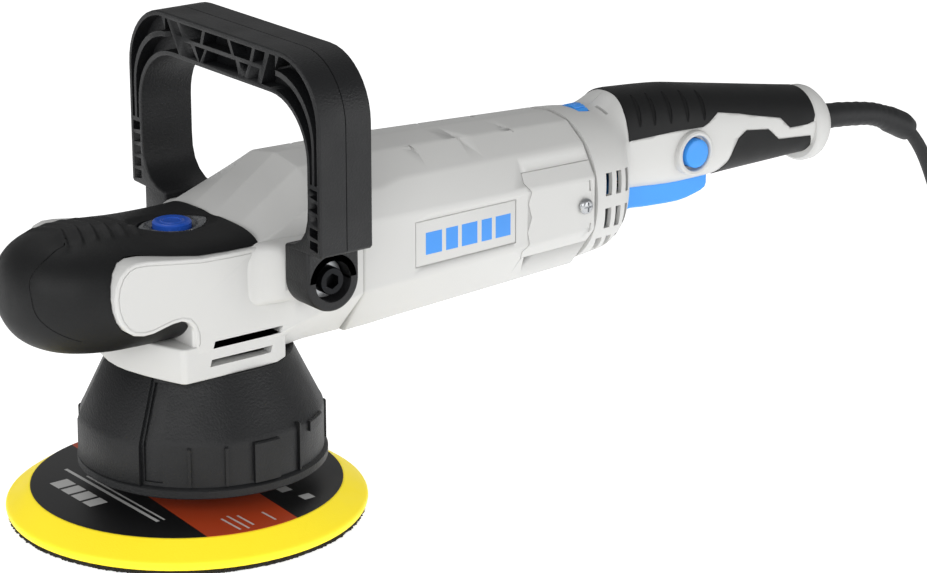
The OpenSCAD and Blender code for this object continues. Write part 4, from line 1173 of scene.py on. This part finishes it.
# ---- Trigger and its pin ----
# Bright blue nylon lever under the grip; it swings on a steel pin at its front end.
trigger_line = [(209, 89.5), (212, 88.2), (219, 87.9), (225, 88.4), (232, 87.7), (239, 87.3),
                (246, 86.9), (253, 86.8),
                (258, 87.3), (262, 88.1), (266.5, 89.2), (269.2, 90.6), (270, 92.6), (270, 103),
                (214, 105), (209, 103)]
lever = extruded("trigger_lever", trigger_line, -7.3, 7.3, "Y")
modified(lever, "BEVEL", width=1.5 * MM, segments=4, limit_method="ANGLE", angle_limit=1.0)
carved(lever, rod("pin_hole", "Y", (214, -9, 102), 2.05, 18, 30))
bright_blue, bright_shader = new_material("bright_blue_nylon", "#3f9bf2", 0.38,
                                          Specular_IOR_Level=0.45)
bright_blue_place = grain(bright_blue, bright_shader, 0.5, 0.03, 0.3)
uneven(bright_blue, bright_shader, bright_blue_place, 8, 0.32, 0.44)
settle(lever, bright_blue, "trigger", "blue_plastic", "trigger", smooth=38)


# ---- Lock-on button ----
# Blue round button on the left of the grip, with a domed face and a small chamfer.
lock_on = spun("lock_on_knob", [(0, -12), (6.3, -12), (6.6, -12.3), (6.6, -20.9), (6.3, -21.5),
                                (5.7, -21.8), (3, -22), (0, -22)],
               LOCK_ON, "Y", 64)
settle(lock_on, bright_blue, "lock_on", "blue_plastic", "lock_on_button")


# ---- Speed dial ----
# Thumb wheel with 24 teeth; its spindle turns a potentiometer on the speed board.
teeth = []
for k in range(24):
    for share, radius in ((-0.30, 10.95), (0.30, 10.95), (0.42, 10.3), (0.58, 10.3)):
        a = math.tau * (k + share) / 24
        teeth.append((radius * math.cos(a), 129 + radius * math.sin(a)))
wheel = extruded("speed_wheel", teeth, 194.2, 200.2, "X")
modified(wheel, "BEVEL", width=0.22 * MM, segments=2, limit_method="ANGLE", angle_limit=1.2)
wheel = joined([wheel, rod("spindle", "X", (199, 0, 129), 1.95, 9.1, 24)])
settle(wheel, bright_blue, "dial", "blue_plastic", "speed_dial")


# ---- Shell screws ----
# Three dark cross-recess screws that close the two halves; they go in from the right.
rear_screws = []
for x, z, seat in shell_screw_places:
    rear_screws.append(cross_screw("shell_screw_set", 1, x, z, [
        (0, -11.4), (1.1, -11.2), (1.14, seat), (2.8, seat), (2.9, seat + 0.3), (2.6, seat + 1.3),
        (1.6, seat + 1.9),
        (0, seat + 2)], seat + 2, 2.9))
settle(joined(rear_screws), black_steel, "housing", "black_steel", "shell_screws")


# ---- Plug pins and the hidden works ----
# Everything inside keeps its shape from the design. Each material is made once and put on
# every piece that is made of it.
def metal(name, colour, roughness, size, height):
    made, shader = new_material(name, colour, roughness, Metallic=1.0)
    place = grain(made, shader, size, height, 0.4, 3.0)
    uneven(made, shader, place, size * 14, roughness * 0.8, roughness * 1.3)
    return made


def moulded(name, colour, roughness, size, height):
    made, shader = new_material(name, colour, roughness, Specular_IOR_Level=0.4)
    place = grain(made, shader, size, height, 0.35, 2.0)
    uneven(made, shader, place, size * 16, roughness * 0.85, roughness * 1.2)
    return made


works = {
    "black_nylon": nylon, "black_moulding": nylon, "soft_grip": soft_black, "grey_casing": casing,
    "blue_plastic": bright_blue, "bright_steel": bright_steel, "black_steel": black_steel,
    "cord_rubber": rubber,
    "printed_label": vinyl, "pad_foam": foam_with_painted_glow, "hook_nylon": hook_nylon,
    "cast_iron": metal("sintered_iron", "#5b5c5e", 0.5, 0.6, 0.05),
    "cast_aluminium": metal("die_cast_aluminium", "#a4a7aa", 0.42, 0.7, 0.05),
    "lamination_steel": metal("stacked_lamination_steel", "#66686b", 0.45, 0.35, 0.06),
    "enamelled_copper": metal("enamelled_copper_wire", "#9c4a1c", 0.35, 0.5, 0.08),
    "copper": metal("turned_copper", "#b4683a", 0.3, 0.3, 0.02),
    "brass": metal("stamped_brass", "#b0903f", 0.32, 0.4, 0.02),
    "carbon": moulded("pressed_carbon", "#232426", 0.6, 0.3, 0.04),
    "circuit_board": moulded("glass_epoxy_board", "#1d6a3b", 0.4, 0.5, 0.02)}
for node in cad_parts.values():
    slot_name = node.data.materials[0].name.split(".")[0]
    node.data.materials.clear()
    node.data.materials.append(works[slot_name])
